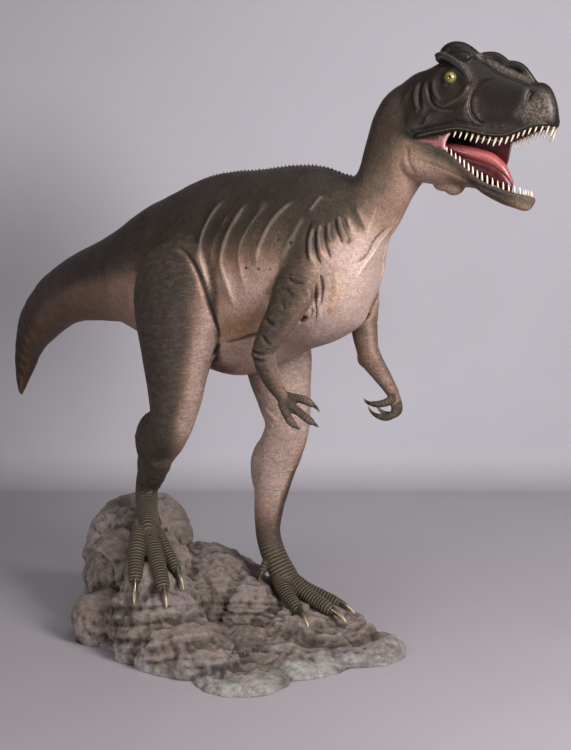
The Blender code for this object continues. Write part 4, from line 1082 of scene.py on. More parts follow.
# %% Chains of limbs, and each point's place along them
# Each chain: its rows, and the length of one plate
CHAINS = {
    "leg_right": (RIGHT_LEG, 0.0150),
    "leg_left": (LEFT_LEG, 0.0165),
    "arm_right": (RIGHT_ARM, 0.0170),
    "arm_left": (LEFT_ARM, 0.0170),
}
CHAINS.update({"toe_" + name: (rows, 0.0130 if "right" in name else 0.0140) for name, rows in TOES.items()})
CHAINS.update({"finger_" + name: (rows, 0.0110) for name, rows in FINGERS.items()})


def chain_of(places):
    """For each place: its chain's number or -1, plates and metres along it, how sure, and how close."""
    best = np.full(len(places), 1.9)
    second = np.full(len(places), 1.9)
    number = np.full(len(places), -1)
    plates = np.zeros(len(places))
    metres = np.zeros(len(places))
    for k, (rows, pitch) in enumerate(CHAINS.values()):
        rows = smooth_rows(rows, 3)
        low = rows[:, :3].min(0) - 0.25
        high = rows[:, :3].max(0) + 0.25
        near = np.flatnonzero(np.all((places > low) & (places < high), axis=1))
        distance, along = near_path(places[near], rows[:, :3])
        marks = marks_on(rows[:, :3])
        spot = read_off(rows[:, :3], marks, along)
        ahead = read_off(np.gradient(rows[:, :3], axis=0), marks, along)
        ahead /= np.linalg.norm(ahead, axis=1, keepdims=True)
        across = np.cross(ahead, (1.0, 0.0, 0.0))
        across /= np.linalg.norm(across, axis=1, keepdims=True)
        aside = ((places[near] - spot) * across).sum(axis=1)
        fore = np.sqrt(np.maximum(distance**2 - aside**2, 0.0))
        sizes = [np.interp(along, marks, rows[:, min(i, rows.shape[1] - 1)]) for i in (3, 4)]
        score = np.hypot(fore / sizes[0], aside / sizes[1])
        closer = score < best[near]
        second[near] = np.where(closer, best[near], np.minimum(second[near], score))
        chosen = near[closer]
        best[chosen] = score[closer]
        number[chosen] = k
        plates[chosen] = along[closer] / pitch
        metres[chosen] = along[closer]
    return number, plates, metres, eased(0.02, 0.25, second - best), eased(1.22, 1.06, best)


def on_chains(number, *starts):
    """Which points lie on the chains whose names start so."""
    return np.isin(number, [k for k, name in enumerate(CHAINS) if name.startswith(starts)])


number, plates, metres, sure, close = chain_of(folds.start)
print("points on limbs:", int((number >= 0).sum()))


# %% Where plates, and where only wrinkles, cover the hide
def plated_amount(places, normals, number, sure):
    """How strongly plates show at each point, from 0 to 1."""
    amount = np.zeros(len(places))
    for name, from_z, to_z in (("leg_right", 0.665, 0.600), ("leg_left", 0.420, 0.330)):
        on = on_chains(number, name)
        amount[on] = 1 - eased(to_z, from_z, places[on, 2])
    toes = on_chains(number, "toe_")
    amount[toes] = eased(-0.75, -0.2, normals[toes, 2])
    amount[on_chains(number, "finger_")] = 0.45
    return amount * sure


PLATE_SWELL = 0.0010
plated = plated_amount(folds.start, folds.normals, number, sure)
swell = np.abs(np.sin(math.pi * plates)) - 0.6
folds.moved += PLATE_SWELL * swell * plated
print("plated points:", int((plated > 0.5).sum()))

# %% Small unevenness everywhere, then move the skin
LUMP_HEIGHT = 0.0022
LUMP_SCALE = 14.0
fewer_on_head = 1 - 0.7 * eased(-0.02, 0.04, head_places[:, 0])
folds.moved += LUMP_HEIGHT * noise_of(folds.start, LUMP_SCALE) * fewer_on_head
folds.done(skin)
print("folds done, moved up to", round(float(np.abs(folds.moved).max()) * 1000, 1), "mm")

# %% [markdown]
# ## Where the hide stands out
# A painter drags a nearly dry brush over the finished cast, which catches only what stands out; here
# that pale also stands for painted highlight, and what lies deep is darkened as painted shade. The
# skin's relief is therefore measured now, while its mesh is even: the folds' own height, and how far
# each point stands above its neighbours.

# %% Relief: what stands out and what lies deep
def neighbours_mean(values, edges, count):
    """Each point's mean over its neighbours."""
    degree = np.bincount(edges.ravel(), minlength=count)
    out = np.empty_like(values)
    for k in range(values.shape[1]):
        sums = np.bincount(edges[:, 0], values[edges[:, 1], k], count)
        sums += np.bincount(edges[:, 1], values[edges[:, 0], k], count)
        out[:, k] = sums / np.maximum(degree, 1)
    return out


def relief_of(piece, rounds):
    """How far each point stands out from its smoothed surroundings, in metres."""
    count = len(piece.data.vertices)
    edges = np.empty(len(piece.data.edges) * 2, np.int64)
    piece.data.edges.foreach_get("vertices", edges)
    edges = edges.reshape(-1, 2)
    start = points_of(piece)
    smooth = start
    for _ in range(rounds):
        smooth = 0.5 * smooth + 0.5 * neighbours_mean(smooth, edges, count)
    height = ((start - smooth) * points_of(piece, "normal")).sum(axis=1, keepdims=True)
    return neighbours_mean(height, edges, count)[:, 0]


def keep(piece, name, values):
    """Stores one number for each point of the piece."""
    kept = piece.data.attributes.new(name, "FLOAT", "POINT")
    kept.data.foreach_set("value", np.asarray(values, np.float32))


FULL_FOLD = 0.0060
FULL_RELIEF = 0.0012
folded = np.clip(folds.moved / FULL_FOLD, -1, 1)
standing_out = np.clip(relief_of(skin, 5) / FULL_RELIEF, -1, 1)
keep(skin, "relief", 0.6 * folded + 0.4 * standing_out)
print("relief kept for", len(skin.data.vertices), "points")

# %% [markdown]
# ## Fewer triangles where nothing happens
# The fine skin is far heavier than it needs to be on a smooth belly. Decimate removes points where
# they matter least, and a vertex group tells it to spare the head, the feet, the hands and the folds.

# %% Thin the skin out
SKIN_TRIANGLES = 192000
spare = np.clip(np.abs(folds.moved) / 0.004, 0.0, 0.35)
spare += 0.60 * eased(-0.03, 0.02, head_places[:, 0]) * (head_places[:, 2] > -0.30)
spare[on_chains(number, "toe_", "finger_")] = 0.5
spare += 0.35 * (plated > 0.3)
group = skin.vertex_groups.new(name="Spare")
for level in range(1, 11):
    chosen = np.flatnonzero(np.round(np.clip(spare, 0, 1) * 10) == level)
    if len(chosen):
        group.add(chosen.tolist(), level / 10, "REPLACE")
shape = bmesh.new()
shape.from_mesh(skin.data)
bmesh.ops.triangulate(shape, faces=shape.faces)
shape.to_mesh(skin.data)
shape.free()
thin = skin.modifiers.new("Thin out", "DECIMATE")
thin.ratio = SKIN_TRIANGLES / len(skin.data.polygons)
thin.vertex_group = "Spare"
thin.invert_vertex_group = True
thin.vertex_group_factor = 1.0
settle(skin)
skin.data.validate()
skin.vertex_groups.clear()
print("skin now:", len(skin.data.polygons), "triangles")

# %% [markdown]
# ## Paint masks
# The statue was sprayed dark over the back and light under the belly, with a warm band between, and
# then dry-brushed pale on its crests, a pale that also stands for painted highlight. Some masks hold
# painted light as well: painted shade behind the arm and over the shoulder's folds, lighter paint where
# legs and arms face forward toward the key light, and painted shade inside the mouth. Such masks are
# best stored on the mesh as attributes, one number for each point, because then they follow the
# body's form and not a direction in space.


# %% How dark each point is sprayed, painted shade and painted light included
places = points_of(skin)
normals = points_of(skin, "normal")
x, y, z = places.T
u, v, w = in_head(places).T
number, plates, metres, sure, close = chain_of(places)
plated = plated_amount(places, normals, number, sure)


def along_trunk(places):
    """For each place: the trunk's nearest row, and how high between belly (-1) and back (1) it lies."""
    centres = (BACK_LINE + BELLY_LINE) / 2
    ups = (BACK_LINE - BELLY_LINE) / 2
    gaps = np.linalg.norm(places[:, None, :] - centres[None, ::4, :], axis=2)
    row = gaps.argmin(axis=1) * 4
    lift = ((places - centres[row]) * ups[row]).sum(axis=1) / (ups[row] ** 2).sum(axis=1)
    return row / (len(centres) - 1), np.clip(lift, -1.3, 1.3)


station, lift = along_trunk(places)
# Along the trunk from 0 at the tail's tip to 1 at the nape: where dark meets light, between -1 for the
# belly and 1 for the back, over how soft an edge, and how dark the light part still is
BORDER = ((0.0, -0.25), (0.32, -0.06), (0.44, 0.05), (0.60, 0.16), (0.72, 0.25), (0.80, 0.0), (0.88, -0.25),
          (1.0, -0.30))
SOFTNESS = ((0.0, 0.16), (0.36, 0.18), (0.48, 0.34), (0.70, 0.40), (0.82, 0.55), (1.0, 0.60))
LEAST_DARK = ((0.0, 0.50), (0.10, 0.60), (0.26, 0.60), (0.36, 0.44), (0.46, 0.24), (0.60, 0.18),
              (0.66, 0.04), (0.72, 0.0), (0.80, 0.34), (1.0, 0.60))
MOST_DARK = 0.90
border, soft, least = (profile_at(table, station)[0] for table in (BORDER, SOFTNESS, LEAST_DARK))
dark = eased(-1.0, 1.0, (lift + 0.16 * noise_of(places, 3.1) - border) / soft)
dark = least + (MOST_DARK - least) * dark
# Strokes of the airbrush, mirrored to both sides: a path with an amount, a width and its paint. The
# dark strokes behind the arm and over and in the creases of the shoulder are painted shade; the dark
# one at the belly's edge and the ochre ones are the paint's own colour.
BELLY_EDGE = ((-0.129, -0.234, 1.331), (-0.043, -0.229, 1.338), (0.030, -0.225, 1.367))
STROKES = (
    (((0.260, -0.141, 1.847), (0.246, -0.187, 1.755), (0.224, -0.211, 1.670), (0.200, -0.226, 1.598),
      (0.180, -0.240, 1.546)), 0.72, 0.045, "dark"),
    (((0.301, -0.145, 1.818), (0.317, -0.170, 1.743), (0.332, -0.179, 1.669)), 0.50, 0.015, "dark"),
    (((0.337, -0.133, 1.817), (0.361, -0.152, 1.737), (0.378, -0.149, 1.684), (0.391, -0.140, 1.658)),
     0.55, 0.014, "dark"),
    (((0.385, -0.122, 1.805), (0.410, -0.122, 1.742), (0.424, -0.115, 1.710)), 0.40, 0.016, "dark"),
    (((0.292, -0.165, 1.800), (0.275, -0.190, 1.720), (0.275, -0.200, 1.640)), 0.42, 0.042, "dark"),
    (((0.340, -0.150, 1.790), (0.345, -0.160, 1.710)), 0.30, 0.040, "dark"),
    (BELLY_EDGE, 0.15, 0.045, "dark"),
    (BELLY_EDGE, 0.80, 0.055, "ochre"),
    (((-0.193, -0.237, 1.637), (-0.188, -0.247, 1.570), (-0.162, -0.254, 1.492), (-0.135, -0.253, 1.437)),
     0.75, 0.022, "ochre"),
    (((-0.066, -0.242, 1.634), (-0.056, -0.251, 1.568), (-0.037, -0.254, 1.519)), 0.60, 0.022, "ochre"),
    (CHEST_FOLD, 0.80, 0.020, "ochre"),
)
mirrored = np.stack([x, -np.abs(y), z], axis=1)
ochre = np.zeros(len(places))
for path, amount, width, paint in STROKES:
    stroke = sprayed(mirrored, path, width, amount)
    if paint == "dark":
        dark = np.maximum(dark, np.minimum(dark + stroke, 0.86))
    else:
        ochre = np.maximum(ochre, stroke)
tail_wash = 0.50 * eased(0.42, 0.22, station) * (lift < 0.4)
neck_wash = 0.15 * eased(0.80, 0.90, station) * (lift < 0.6)
keep(skin, "ochre", np.maximum(ochre, np.maximum(tail_wash, neck_wash)))

loose = (number < 0) & (z < 1.10) & (x > -0.80)
on_leg = on_chains(number, "leg_") | loose
close = np.maximum(close, eased(1.20, 1.08, z) * (x > -0.80))
outward = normals[:, 1] * np.sign(y)
inner_low = np.where(y < 0, 0.95, 0.25)
# Lighter where the leg faces forward, toward the key light: painted light. Lighter also on its inner side.
leg_dark = 0.80 - 0.66 * eased(0.30, 0.88, normals[:, 0]) * eased(0.62, 0.86, z)
leg_dark -= 0.72 * eased(-0.1, 0.6, -outward) * eased(inner_low, inner_low + 0.30, z)
leg_dark = np.clip(leg_dark, 0.08, 1.0)
low_leg = np.where(y < 0, eased(0.75, 0.45, z), eased(0.62, 0.30, z))
leg_dark = leg_dark * (1 - low_leg) + 0.70 * low_leg
hip = eased(1.70, 1.56, z) * on_leg * close
dark = dark * (1 - hip) + leg_dark * hip

# The arm likewise: lighter where it faces forward, toward the key light, as painted light, and on its inner
# side.
arm_dark = 0.74 - 0.35 * eased(0.3, 1.0, normals[:, 0]) - 0.35 * eased(0.1, 0.8, -outward)
ARM_FRONT = ((0.325, -0.180, 1.560), (0.312, -0.190, 1.500), (0.290, -0.200, 1.430))
arm_dark = arm_dark * (1 - sprayed(mirrored, ARM_FRONT, 0.030, 0.85))
shoulder = eased(0.0, 0.16, metres) * on_chains(number, "arm_") * close
dark = dark * (1 - shoulder) + arm_dark * shoulder
dark[on_chains(number, "toe_", "finger_")] = 0.74
print("dark over the whole skin:", round(float(dark.mean()), 2))

# %% The head's paint, the mouth's lining, and what to keep
# Places of the head painted pale, as (u, w) paths with an amount and a width. The first two, the
# crescents under the eye, are painted highlights; the rest are pale that the dry brush has caught.
PALE_BRUSH_AND_HIGHLIGHTS = (
    (((0.217, 0.109), (0.211, 0.091), (0.197, 0.069), (0.176, 0.053), (0.161, 0.044)), 1.20, 0.0062),
    (((0.093, 0.110), (0.103, 0.084), (0.120, 0.063), (0.131, 0.055)), 0.55, 0.0045),
    (((0.096, 0.226), (0.130, 0.219), (0.162, 0.203), (0.190, 0.186), (0.212, 0.160), (0.224, 0.132)),
     0.50, 0.0038),
    (((0.031, 0.095), (0.033, 0.060), (0.044, 0.030)), 0.55, 0.0050),
    (((0.010, 0.100), (0.000, 0.060), (-0.014, 0.025)), 0.35, 0.0070),
    (((0.061, 0.090), (0.068, 0.050)), 0.35, 0.0060),
)
# Broad places of a paler, greyer spray: paths with an amount and a width
FROSTED = (
    (((0.232, 0.236), (0.274, 0.220), (0.325, 0.198), (0.374, 0.185), (0.420, 0.176)), 0.85, 0.0100),
    (((0.450, 0.045), (0.474, 0.090), (0.486, 0.046), (0.510, 0.080), (0.490, 0.110)), 1.00, 0.0260),
    (((0.415, 0.050), (0.435, 0.080)), 0.45, 0.0200),
    (((0.193, 0.190), (0.240, 0.140), (0.226, 0.070), (0.232, 0.020), (0.262, -0.014)), 0.50, 0.0110),
    (((0.256, 0.076), (0.262, 0.040), (0.284, 0.014)), 0.45, 0.0080),
    (((0.300, -0.016), (0.400, -0.002)), 0.30, 0.0120),
    (((0.098, -0.010), (0.072, 0.030)), 0.30, 0.0120),
)
half, _, lip = profile_at(SKULL, u)
jaw_half, rim, under = profile_at(JAW, u)
head = eased(-0.04, 0.06, u) * (np.abs(v) < 0.16) * eased(-0.36, -0.30, w)
above = eased(-0.02, 0.012, w - lip)
bare_head = head * above
below_rim = rim - w
jaw_dark = 0.95 - 0.46 * eased(0.018, 0.056, below_rim) - 0.22 * eased(0.40, 0.47, u)
jaw_dark -= 0.25 * eased(0.070, 0.110, below_rim)
throat_dark = 0.60 - 0.36 * eased(-0.08, -0.18, w)
on_jaw = eased(0.04, 0.17, u)
head_dark = above * 1.12 + (1 - above) * (on_jaw * jaw_dark + (1 - on_jaw) * throat_dark)
dark = dark * (1 - head) + head_dark * head
aside = np.abs(v)
facing_out = normals @ HEAD_AXES[1] * np.sign(v)
facing_up = normals @ HEAD_AXES[2]
inner = np.maximum(eased(-0.10, 0.25, -facing_out), eased(0.020, 0.028, half - aside))
inner = inner * eased(0.008, 0.014, half - aside) * (facing_up < 0.75)
lining = inner * eased(0.040, 0.030, w - lip) * eased(-0.075, -0.045, w - lip)
trough_in = eased(0.006, 0.013, jaw_half - aside) * (w > under + 0.30 * (rim - under)) * (w < rim + 0.03)
lining = np.maximum(lining, trough_in * (facing_up > -0.35) * (u < 0.48))
bed = (aside < 0.044) * (w > rim - 0.030) * (w < -0.085) * (u > 0.10) * (u < 0.44)
lining = np.maximum(lining, bed)
far_wall = eased(-0.004, 0.002, lip - w) * (w > rim - 0.002) * (u > 0.16) * (u < 0.40) * (v > 0)
lining = np.maximum(lining, far_wall) * (u > 0.066) * (u < 0.535)
# The cheek's bare flesh at the corner of the mouth: u, and the w of its upper and its lower edge
WEDGE_TOP = ((0.060, 0.105, 0.136, 0.167, 0.182), (-0.088, -0.083, -0.073, -0.057, -0.050))
WEDGE_LOW = ((0.060, 0.072, 0.118, 0.152, 0.184), (-0.091, -0.094, -0.104, -0.107, -0.116))
wedge = (u > 0.060) * (u < 0.186) * (aside > 0.055)
for inside in (np.interp(u, *WEDGE_TOP) - w, w - np.interp(u, *WEDGE_LOW)):
    wedge = wedge * eased(-0.001, 0.003, inside)
flat_places = flattened(in_head(places))
on_fold = sprayed(flat_places, flat([(a, c) for a, _, c, _ in CHEEK_FOLD]), 0.0062)
on_fold *= (aside > 0.055) * (facing_out > 0.0)
blush = np.maximum(0.45 * wedge, on_fold * (wedge > 0.2))
upright = np.where(number >= 0, sure * close, 0.0) * (1 - plated)
masks = {"dark": np.clip(dark, 0.0, 1.15), "bare_head": bare_head, "blush": blush, "lining": lining,
         "plates": plates, "plated": plated, "upright": upright}
for name, values in masks.items():
    keep(skin, name, values)
relief = np.empty(len(places), np.float32)
skin.data.attributes["relief"].data.foreach_get("value", relief)
relief = np.where(relief > 0, relief * (1 - 0.55 * bare_head), relief)
relief *= 1 - 0.60 * head
frost = np.zeros(len(u))
for kind, paths in ((relief, PALE_BRUSH_AND_HIGHLIGHTS), (frost, FROSTED)):
    for path, amount, width in paths:
        kind += sprayed(flat_places, flat(path), width, amount) * (aside > 0.03) * (head > 0.5)
keep(skin, "frost", np.clip(frost, 0, 1) * above)
skin.data.attributes["relief"].data.foreach_set("value", np.clip(relief, -1, 1).astype(np.float32))
print("relief from", round(float(relief.min()), 2), "to", round(float(relief.max()), 2))
skin.data.shade_smooth()
print("lining points:", int((lining > 0.5).sum()))

# %% [markdown]
# ## Tools for materials
# A node tree is tedious to write one link at a time. Here a node's output becomes a wire, which can be
# added and multiplied like a number. A few helpers add the nodes a painter needs most, so that a
# material reads like the list of what a painter does, in order.


# %% Wires and the nodes between them
class Wire:
    """A node's output, with its tree. Each sum done with it sets one more Math node."""

    def __init__(self, socket):
        self.socket = socket
        self.tree = socket.id_data

    def __add__(self, other):
        return calc("ADD", self, other)

    def __radd__(self, other):
        return calc("ADD", other, self)

    def __sub__(self, other):
        return calc("SUBTRACT", self, other)

    def __rsub__(self, other):
        return calc("SUBTRACT", other, self)

    def __mul__(self, other):
        return calc("MULTIPLY", self, other)

    def __truediv__(self, other):
        return calc("DIVIDE", self, other)

    def __abs__(self):
        return calc("ABSOLUTE", self)


def join(socket, value):
    """Joins a wire to a socket, or sets the socket to a value."""
    if isinstance(value, Wire):
        value.tree.links.new(value.socket, socket)
    elif socket.type == "RGBA" and len(value) == 3:
        socket.default_value = (*value, 1.0)
    else:
        socket.default_value = value


def put(tree, kind, inputs=None, **settings):
    """Adds a node, sets its properties, and sets or joins its inputs."""
    made = tree.nodes.new(kind)
    for key, value in settings.items():
        setattr(made, key, value)
    for key, value in (inputs or {}).items():
        join(made.inputs[key], value)
    return made


def out(tree, kind, inputs=None, output=0, **settings):
    """A new node's output as a wire."""
    return Wire(put(tree, kind, inputs, **settings).outputs[output])


def wires(node):
    """All of a node's outputs by name."""
    return {socket.name: Wire(socket) for socket in node.outputs}


def tree_of(*values):
    """The tree of the first wire among the values."""
    return next(value.tree for value in values if isinstance(value, Wire))


def calc(operation, a, b=0.0):
    """One sum on two numbers, of which at least one is a wire."""
    return out(tree_of(a, b), "ShaderNodeMath", {0: a, 1: b}, operation=operation)


def clamped(wire):
    """The sum, held between 0 and 1."""
    wire.socket.node.use_clamp = True
    return wire


def mixed(factor, a, b, blend="MIX"):
    """Two colours mixed."""
    inputs = {0: factor, 6: a, 7: b}
    return out(tree_of(factor, a, b), "ShaderNodeMix", inputs, 2, data_type="RGBA", blend_type=blend)


def shaded(colour, light):
    """A colour made darker or lighter by a number near 1."""
    grey = out(light.tree, "ShaderNodeCombineColor", {0: light, 1: light, 2: light})
    return mixed(1.0, colour, grey, "MULTIPLY")


def ramp(value, stops):
    """A row of colours read off by a number: stops are (place, (red, green, blue))."""
    made = put(value.tree, "ShaderNodeValToRGB", {0: value})
    row = made.color_ramp.elements
    row[0].position, row[0].color = stops[0][0], (*stops[0][1], 1.0)
    row[1].position, row[1].color = stops[-1][0], (*stops[-1][1], 1.0)
    for place, colour in stops[1:-1]:
        row.new(place).color = (*colour, 1.0)
    return Wire(made.outputs[0])


def step(value, low, high):
    """A soft step from 0 to 1 as the value goes from low to high."""
    inputs = {"Value": value, "From Min": low, "From Max": high}
    return out(value.tree, "ShaderNodeMapRange", inputs, interpolation_type="SMOOTHSTEP")


def mask(tree, name):
    """A number stored on the mesh."""
    return out(tree, "ShaderNodeAttribute", None, "Fac", attribute_name=name)


def clouds(place, scale, detail=4.0, roughness=0.55, stretch=None):
    """Noise between 0 and 1, finer with a larger scale, and squeezed by the stretch."""
    if stretch:
        place = out(place.tree, "ShaderNodeMapping", {"Vector": place, "Scale": stretch})
    inputs = {"Vector": place, "Scale": scale, "Detail": detail, "Roughness": roughness}
    return out(place.tree, "ShaderNodeTexNoise", inputs, "Fac")


def group_tree(name, inputs, outputs, kind="ShaderNodeTree"):
    """An empty node group: itself, its given wires, and its results' sockets by name."""
    tree = bpy.data.node_groups.new(name, kind)
    for label, kind, default in inputs:
        made = tree.interface.new_socket(label, in_out="INPUT", socket_type="NodeSocket" + kind)
        if default is not None:
            made.default_value = default
    for label, kind in outputs:
        tree.interface.new_socket(label, in_out="OUTPUT", socket_type="NodeSocket" + kind)
    return tree, wires(put(tree, "NodeGroupInput")), put(tree, "NodeGroupOutput").inputs


def use(group, **inputs):
    """Places a shader group and gives its outputs. Its inputs are named with _ for a space."""
    inputs = {label.replace("_", " "): value for label, value in inputs.items()}
    return wires(put(tree_of(*inputs.values()), "ShaderNodeGroup", inputs, node_tree=group))


def finish_of(name, roughness=0.5, **settings):
    """A new material: its tree, its shader, the place on the object, and itself."""
    made = bpy.data.materials.new(name)
    made.use_nodes = True
    tree = made.node_tree
    shader = tree.nodes["Principled BSDF"]
    shader.inputs["Roughness"].default_value = roughness
    for label, value in settings.items():
        shader.inputs[label.replace("_", " ")].default_value = value
    return tree, shader, out(tree, "ShaderNodeTexCoord", None, "Object"), made


def wear(shader, colour, roughness=None, height=None, depth=0.003):
    """Joins a finish to its shader: colour, roughness, and a height that a Bump node turns to light."""
    join(shader.inputs["Base Color"], colour)
    if roughness is not None:
        join(shader.inputs["Roughness"], roughness)
    if height is not None:
        bump = {"Height": height, "Distance": depth, "Strength": 1.0}
        join(shader.inputs["Normal"], out(height.tree, "ShaderNodeBump", bump))


# %% [markdown]
# ## Three effects that several finishes share
# Hide, claws and rock were all painted the same way: a mottled coat, painted shade in the hollows, and
# a nearly dry pale brush dragged over what stands out, which also serves as painted highlight. Scaly
# grain is shared by the hide and the small scales. Each effect is one node group, placed in each
# material with its own values.

# %% Mottled coat, dry brush with painted highlight and shade, and scaly grain
MIDDLE_GREY = (0.5, 0.5, 0.5, 1.0)
mottle, given, result = group_tree(
    "Mottled coat",
    [("Colour", "Color", MIDDLE_GREY), ("Place", "Vector", None), ("Scale", "Float", 10.0),
     ("Amount", "Float", 0.4)],
    [("Colour", "Color"), ("Patches", "Float")],
)
patches = clouds(given["Place"], given["Scale"], 6.0, 0.6)
join(result["Colour"], shaded(given["Colour"], (patches - 0.5) * given["Amount"] + 1.0))
join(result["Patches"], patches)

brushed_and_shaded, given, result = group_tree(
    "Dry brush and painted shade",
    [("Colour", "Color", MIDDLE_GREY), ("Relief", "Float", 0.0), ("Pale", "Color", (0.6, 0.5, 0.4, 1.0)),
     ("Deep", "Color", (0.02, 0.02, 0.02, 1.0)), ("Pale amount", "Float", 0.5),
     ("Deep amount", "Float", 0.7)],
    [("Colour", "Color")],
)
# Pale on the crests is dry brush and painted highlight; dark in the creases is painted shade
crest = step(given["Relief"], 0.08, 0.75) * given["Pale amount"]
crease = step(given["Relief"] * -1.0, 0.06, 0.70) * given["Deep amount"]
join(result["Colour"], mixed(crease, mixed(crest, given["Colour"], given["Pale"]), given["Deep"]))

scaly, given, result = group_tree(
    "Scaly grain",
    [("Place", "Vector", None), ("Scale", "Float", 90.0)],
    [("Height", "Float"), ("Tone", "Float")],
)
at = {"Vector": given["Place"], "Scale": given["Scale"]}
cells = out(scaly, "ShaderNodeTexVoronoi", at, "Color")
rims = out(scaly, "ShaderNodeTexVoronoi", at, "Distance", feature="DISTANCE_TO_EDGE")
join(result["Height"], step(rims, 0.0, 0.28))
join(result["Tone"], out(scaly, "ShaderNodeSeparateColor", {0: cells}))


def mottled(colour, place, scale, amount):
    """The colour with the mottled coat over it."""
    return use(mottle, Colour=colour, Place=place, Scale=scale, Amount=amount)["Colour"]


def dry_brushed_and_shaded(colour, pale, pale_amount, deep, deep_amount):
    """The colour, pale on what stands out as dry brush and painted highlight, and dark in what lies deep as
    painted shade.
    """
    relief = mask(tree_of(colour), "relief")
    return use(brushed_and_shaded, Colour=colour, Relief=relief, Pale=pale, Deep=deep, Pale_amount=pale_amount,
               Deep_amount=deep_amount)["Colour"]


print("shared groups:", mottle.name, "/", brushed_and_shaded.name, "/", scaly.name)

# %% [markdown]
# ## The hide's finish
# From belly to back the colour runs from pinkish tan through ochre to a dark olive brown, with the
# boundary broken up by the airbrush's drift. Fine scales cover everything, wrinkles cross the limbs
# and ring the tail, and on the feet the plates take over, each with a pale free edge.

# %% Hide
HIDE_TONES = (
    (0.00, (0.440, 0.312, 0.268)),
    (0.18, (0.340, 0.224, 0.180)),
    (0.38, (0.200, 0.122, 0.090)),
    (0.56, (0.105, 0.069, 0.050)),
    (0.78, (0.054, 0.039, 0.030)),
    (1.00, (0.019, 0.0145, 0.0125)),
)


def hide_finish():
    """Airbrushed hide with scales, wrinkles, plates and the mouth's wet lining."""
    tree, shader, place, made = finish_of("Painted hide", Coat_Roughness=0.28, Specular_IOR_Level=0.12)
    # the spray from belly to back, with rust and ochre in the middle tones
    tone = clamped(mask(tree, "dark") + (clouds(place, 11.0, 6.0, 0.6) - 0.5) * 0.24)
    colour = ramp(tone, HIDE_TONES)
    rust = step(clouds(place, 5.0, 3.0), 0.46, 0.66)
    middle = clamped(1.0 - abs(tone * 3.0 - 1.0))
    colour = mixed(rust * middle * 0.3, colour, (0.215, 0.115, 0.066))
    streaky = step(clouds(place, 14.0, 4.0, 0.6, (1.6, 1.6, 0.5)), 0.3, 0.6)
    lit = mixed(tone, (0.33, 0.18, 0.095), (0.052, 0.027, 0.018))
    colour = mixed(mask(tree, "ochre") * streaky, colour, lit)
    colour = mottled(colour, place, 42.0, 0.38)

    # small scales, each a little darker or lighter than the next
    grain = use(scaly, Place=place, Scale=135.0)
    colour = shaded(colour, grain["Tone"] * 0.36 + 0.8)

    # plates of the feet: a dark roof, a pale free edge, and a shadow under it
    plated = mask(tree, "plated")
    within = calc("FRACT", mask(tree, "plates") + clouds(place, 30.0, 2.0) * 0.3)
    roof = step(within, 0.0, 0.55) - step(within, 0.86, 1.0)
    free_edge = (step(within, 0.66, 0.82) - step(within, 0.86, 0.93)) * plated
    shadow = (1.0 - step(calc("PINGPONG", within + 0.04, 0.5), 0.02, 0.16)) * plated
    colour = mixed(plated * 0.55, colour, (0.036, 0.031, 0.021))
    colour = mixed(free_edge * 0.72, colour, (0.27, 0.22, 0.155))
    colour = mixed(shadow * 0.7, colour, (0.02, 0.016, 0.012))

    # wrinkles across the limbs and round the body, dark lines of painted shade, then the dry brush on folds
    # with painted highlight and shade
    upright = mask(tree, "upright")
    across = clouds(place, 7.0, 5.0, 0.62, (3.4, 3.4, 13.0))
    around = clouds(place, 6.0, 5.0, 0.65, (7.0, 2.4, 2.6))
    lines = step(abs(across * upright + around * (1.0 - upright) - 0.5), 0.0, 0.1)
    bare = 1.0 - plated
    bloom = step(clouds(place, 26.0, 5.0, 0.6, (1.0, 1.0, 2.0)), 0.44, 0.6) * upright
    colour = mixed(bloom * 0.24, colour, (0.125, 0.096, 0.086))
    strength = (upright * 0.42 + 0.06) * clamped(tone * 1.1 + 0.2)
    colour = mixed((1.0 - lines) * (bare * strength), colour, (0.03, 0.022, 0.016))
    pale = mixed(0.22, mixed(1.0, colour, (1.7, 1.7, 1.7), "MULTIPLY"), (0.45, 0.335, 0.27))
    colour = dry_brushed_and_shaded(colour, pale, 0.75, (0.022, 0.015, 0.011), 0.78)

    # the darker, smoother head, with a pale dusting
    sleek = mask(tree, "bare_head")
    blotch = step(clouds(place, 16.0, 5.0, 0.6), 0.4, 0.66)
    patina = ramp(clouds(place, 9.0, 3.0), ((0.4, (0.011, 0.009, 0.007)), (0.62, (0.026, 0.014, 0.011))))
    colour = mixed(sleek * 0.78, colour, (0.0065, 0.005, 0.0042))
    colour = mixed(blotch * sleek * 0.55, colour, patina)
    speckle = step(clouds(place, 120.0, 3.0, 0.6), 0.4, 0.62) * 0.7 + 0.2
    colour = mixed(mask(tree, "frost") * speckle, colour, (0.12, 0.088, 0.074))

    # the mouth's lining, dark red as painted shade inside the mouth, and the pink folds at its corners
    lining = mask(tree, "lining")
    flesh = ramp(clouds(place, 30.0, 3.0), ((0.3, (0.026, 0.004, 0.005)), (0.7, (0.075, 0.011, 0.012))))
    colour = mixed(lining, colour, flesh)
    blush = mask(tree, "blush")
    pink = ramp(blush, ((0.3, (0.13, 0.042, 0.044)), (0.5, (0.22, 0.08, 0.08)), (0.95, (0.5, 0.29, 0.275))))
    colour = mixed(step(blush, 0.1, 0.4), colour, pink)

    # gloss, and the height of scales, wrinkles and plates
    roughness = clouds(place, 60.0, 3.0) * 0.22 + 0.37 - sleek * 0.06 - lining * 0.22
    folded = bare * (upright * 0.14 + 0.12) * (1.0 - sleek * 0.75)
    height = grain["Height"] * (0.3 - sleek * 0.22) + lines * folded + roof * plated
    wear(shader, colour, roughness, height * (1.0 - lining * 0.8), 0.0034)
    join(shader.inputs["Coat Weight"], clamped(sleek * 0.25 + lining) * 0.3 + 0.03)
    return made


FLESH_NODES = [
    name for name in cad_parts
    if not name.startswith(("eye", "tongue", "toe_claw", "finger_claw", "rock"))
]


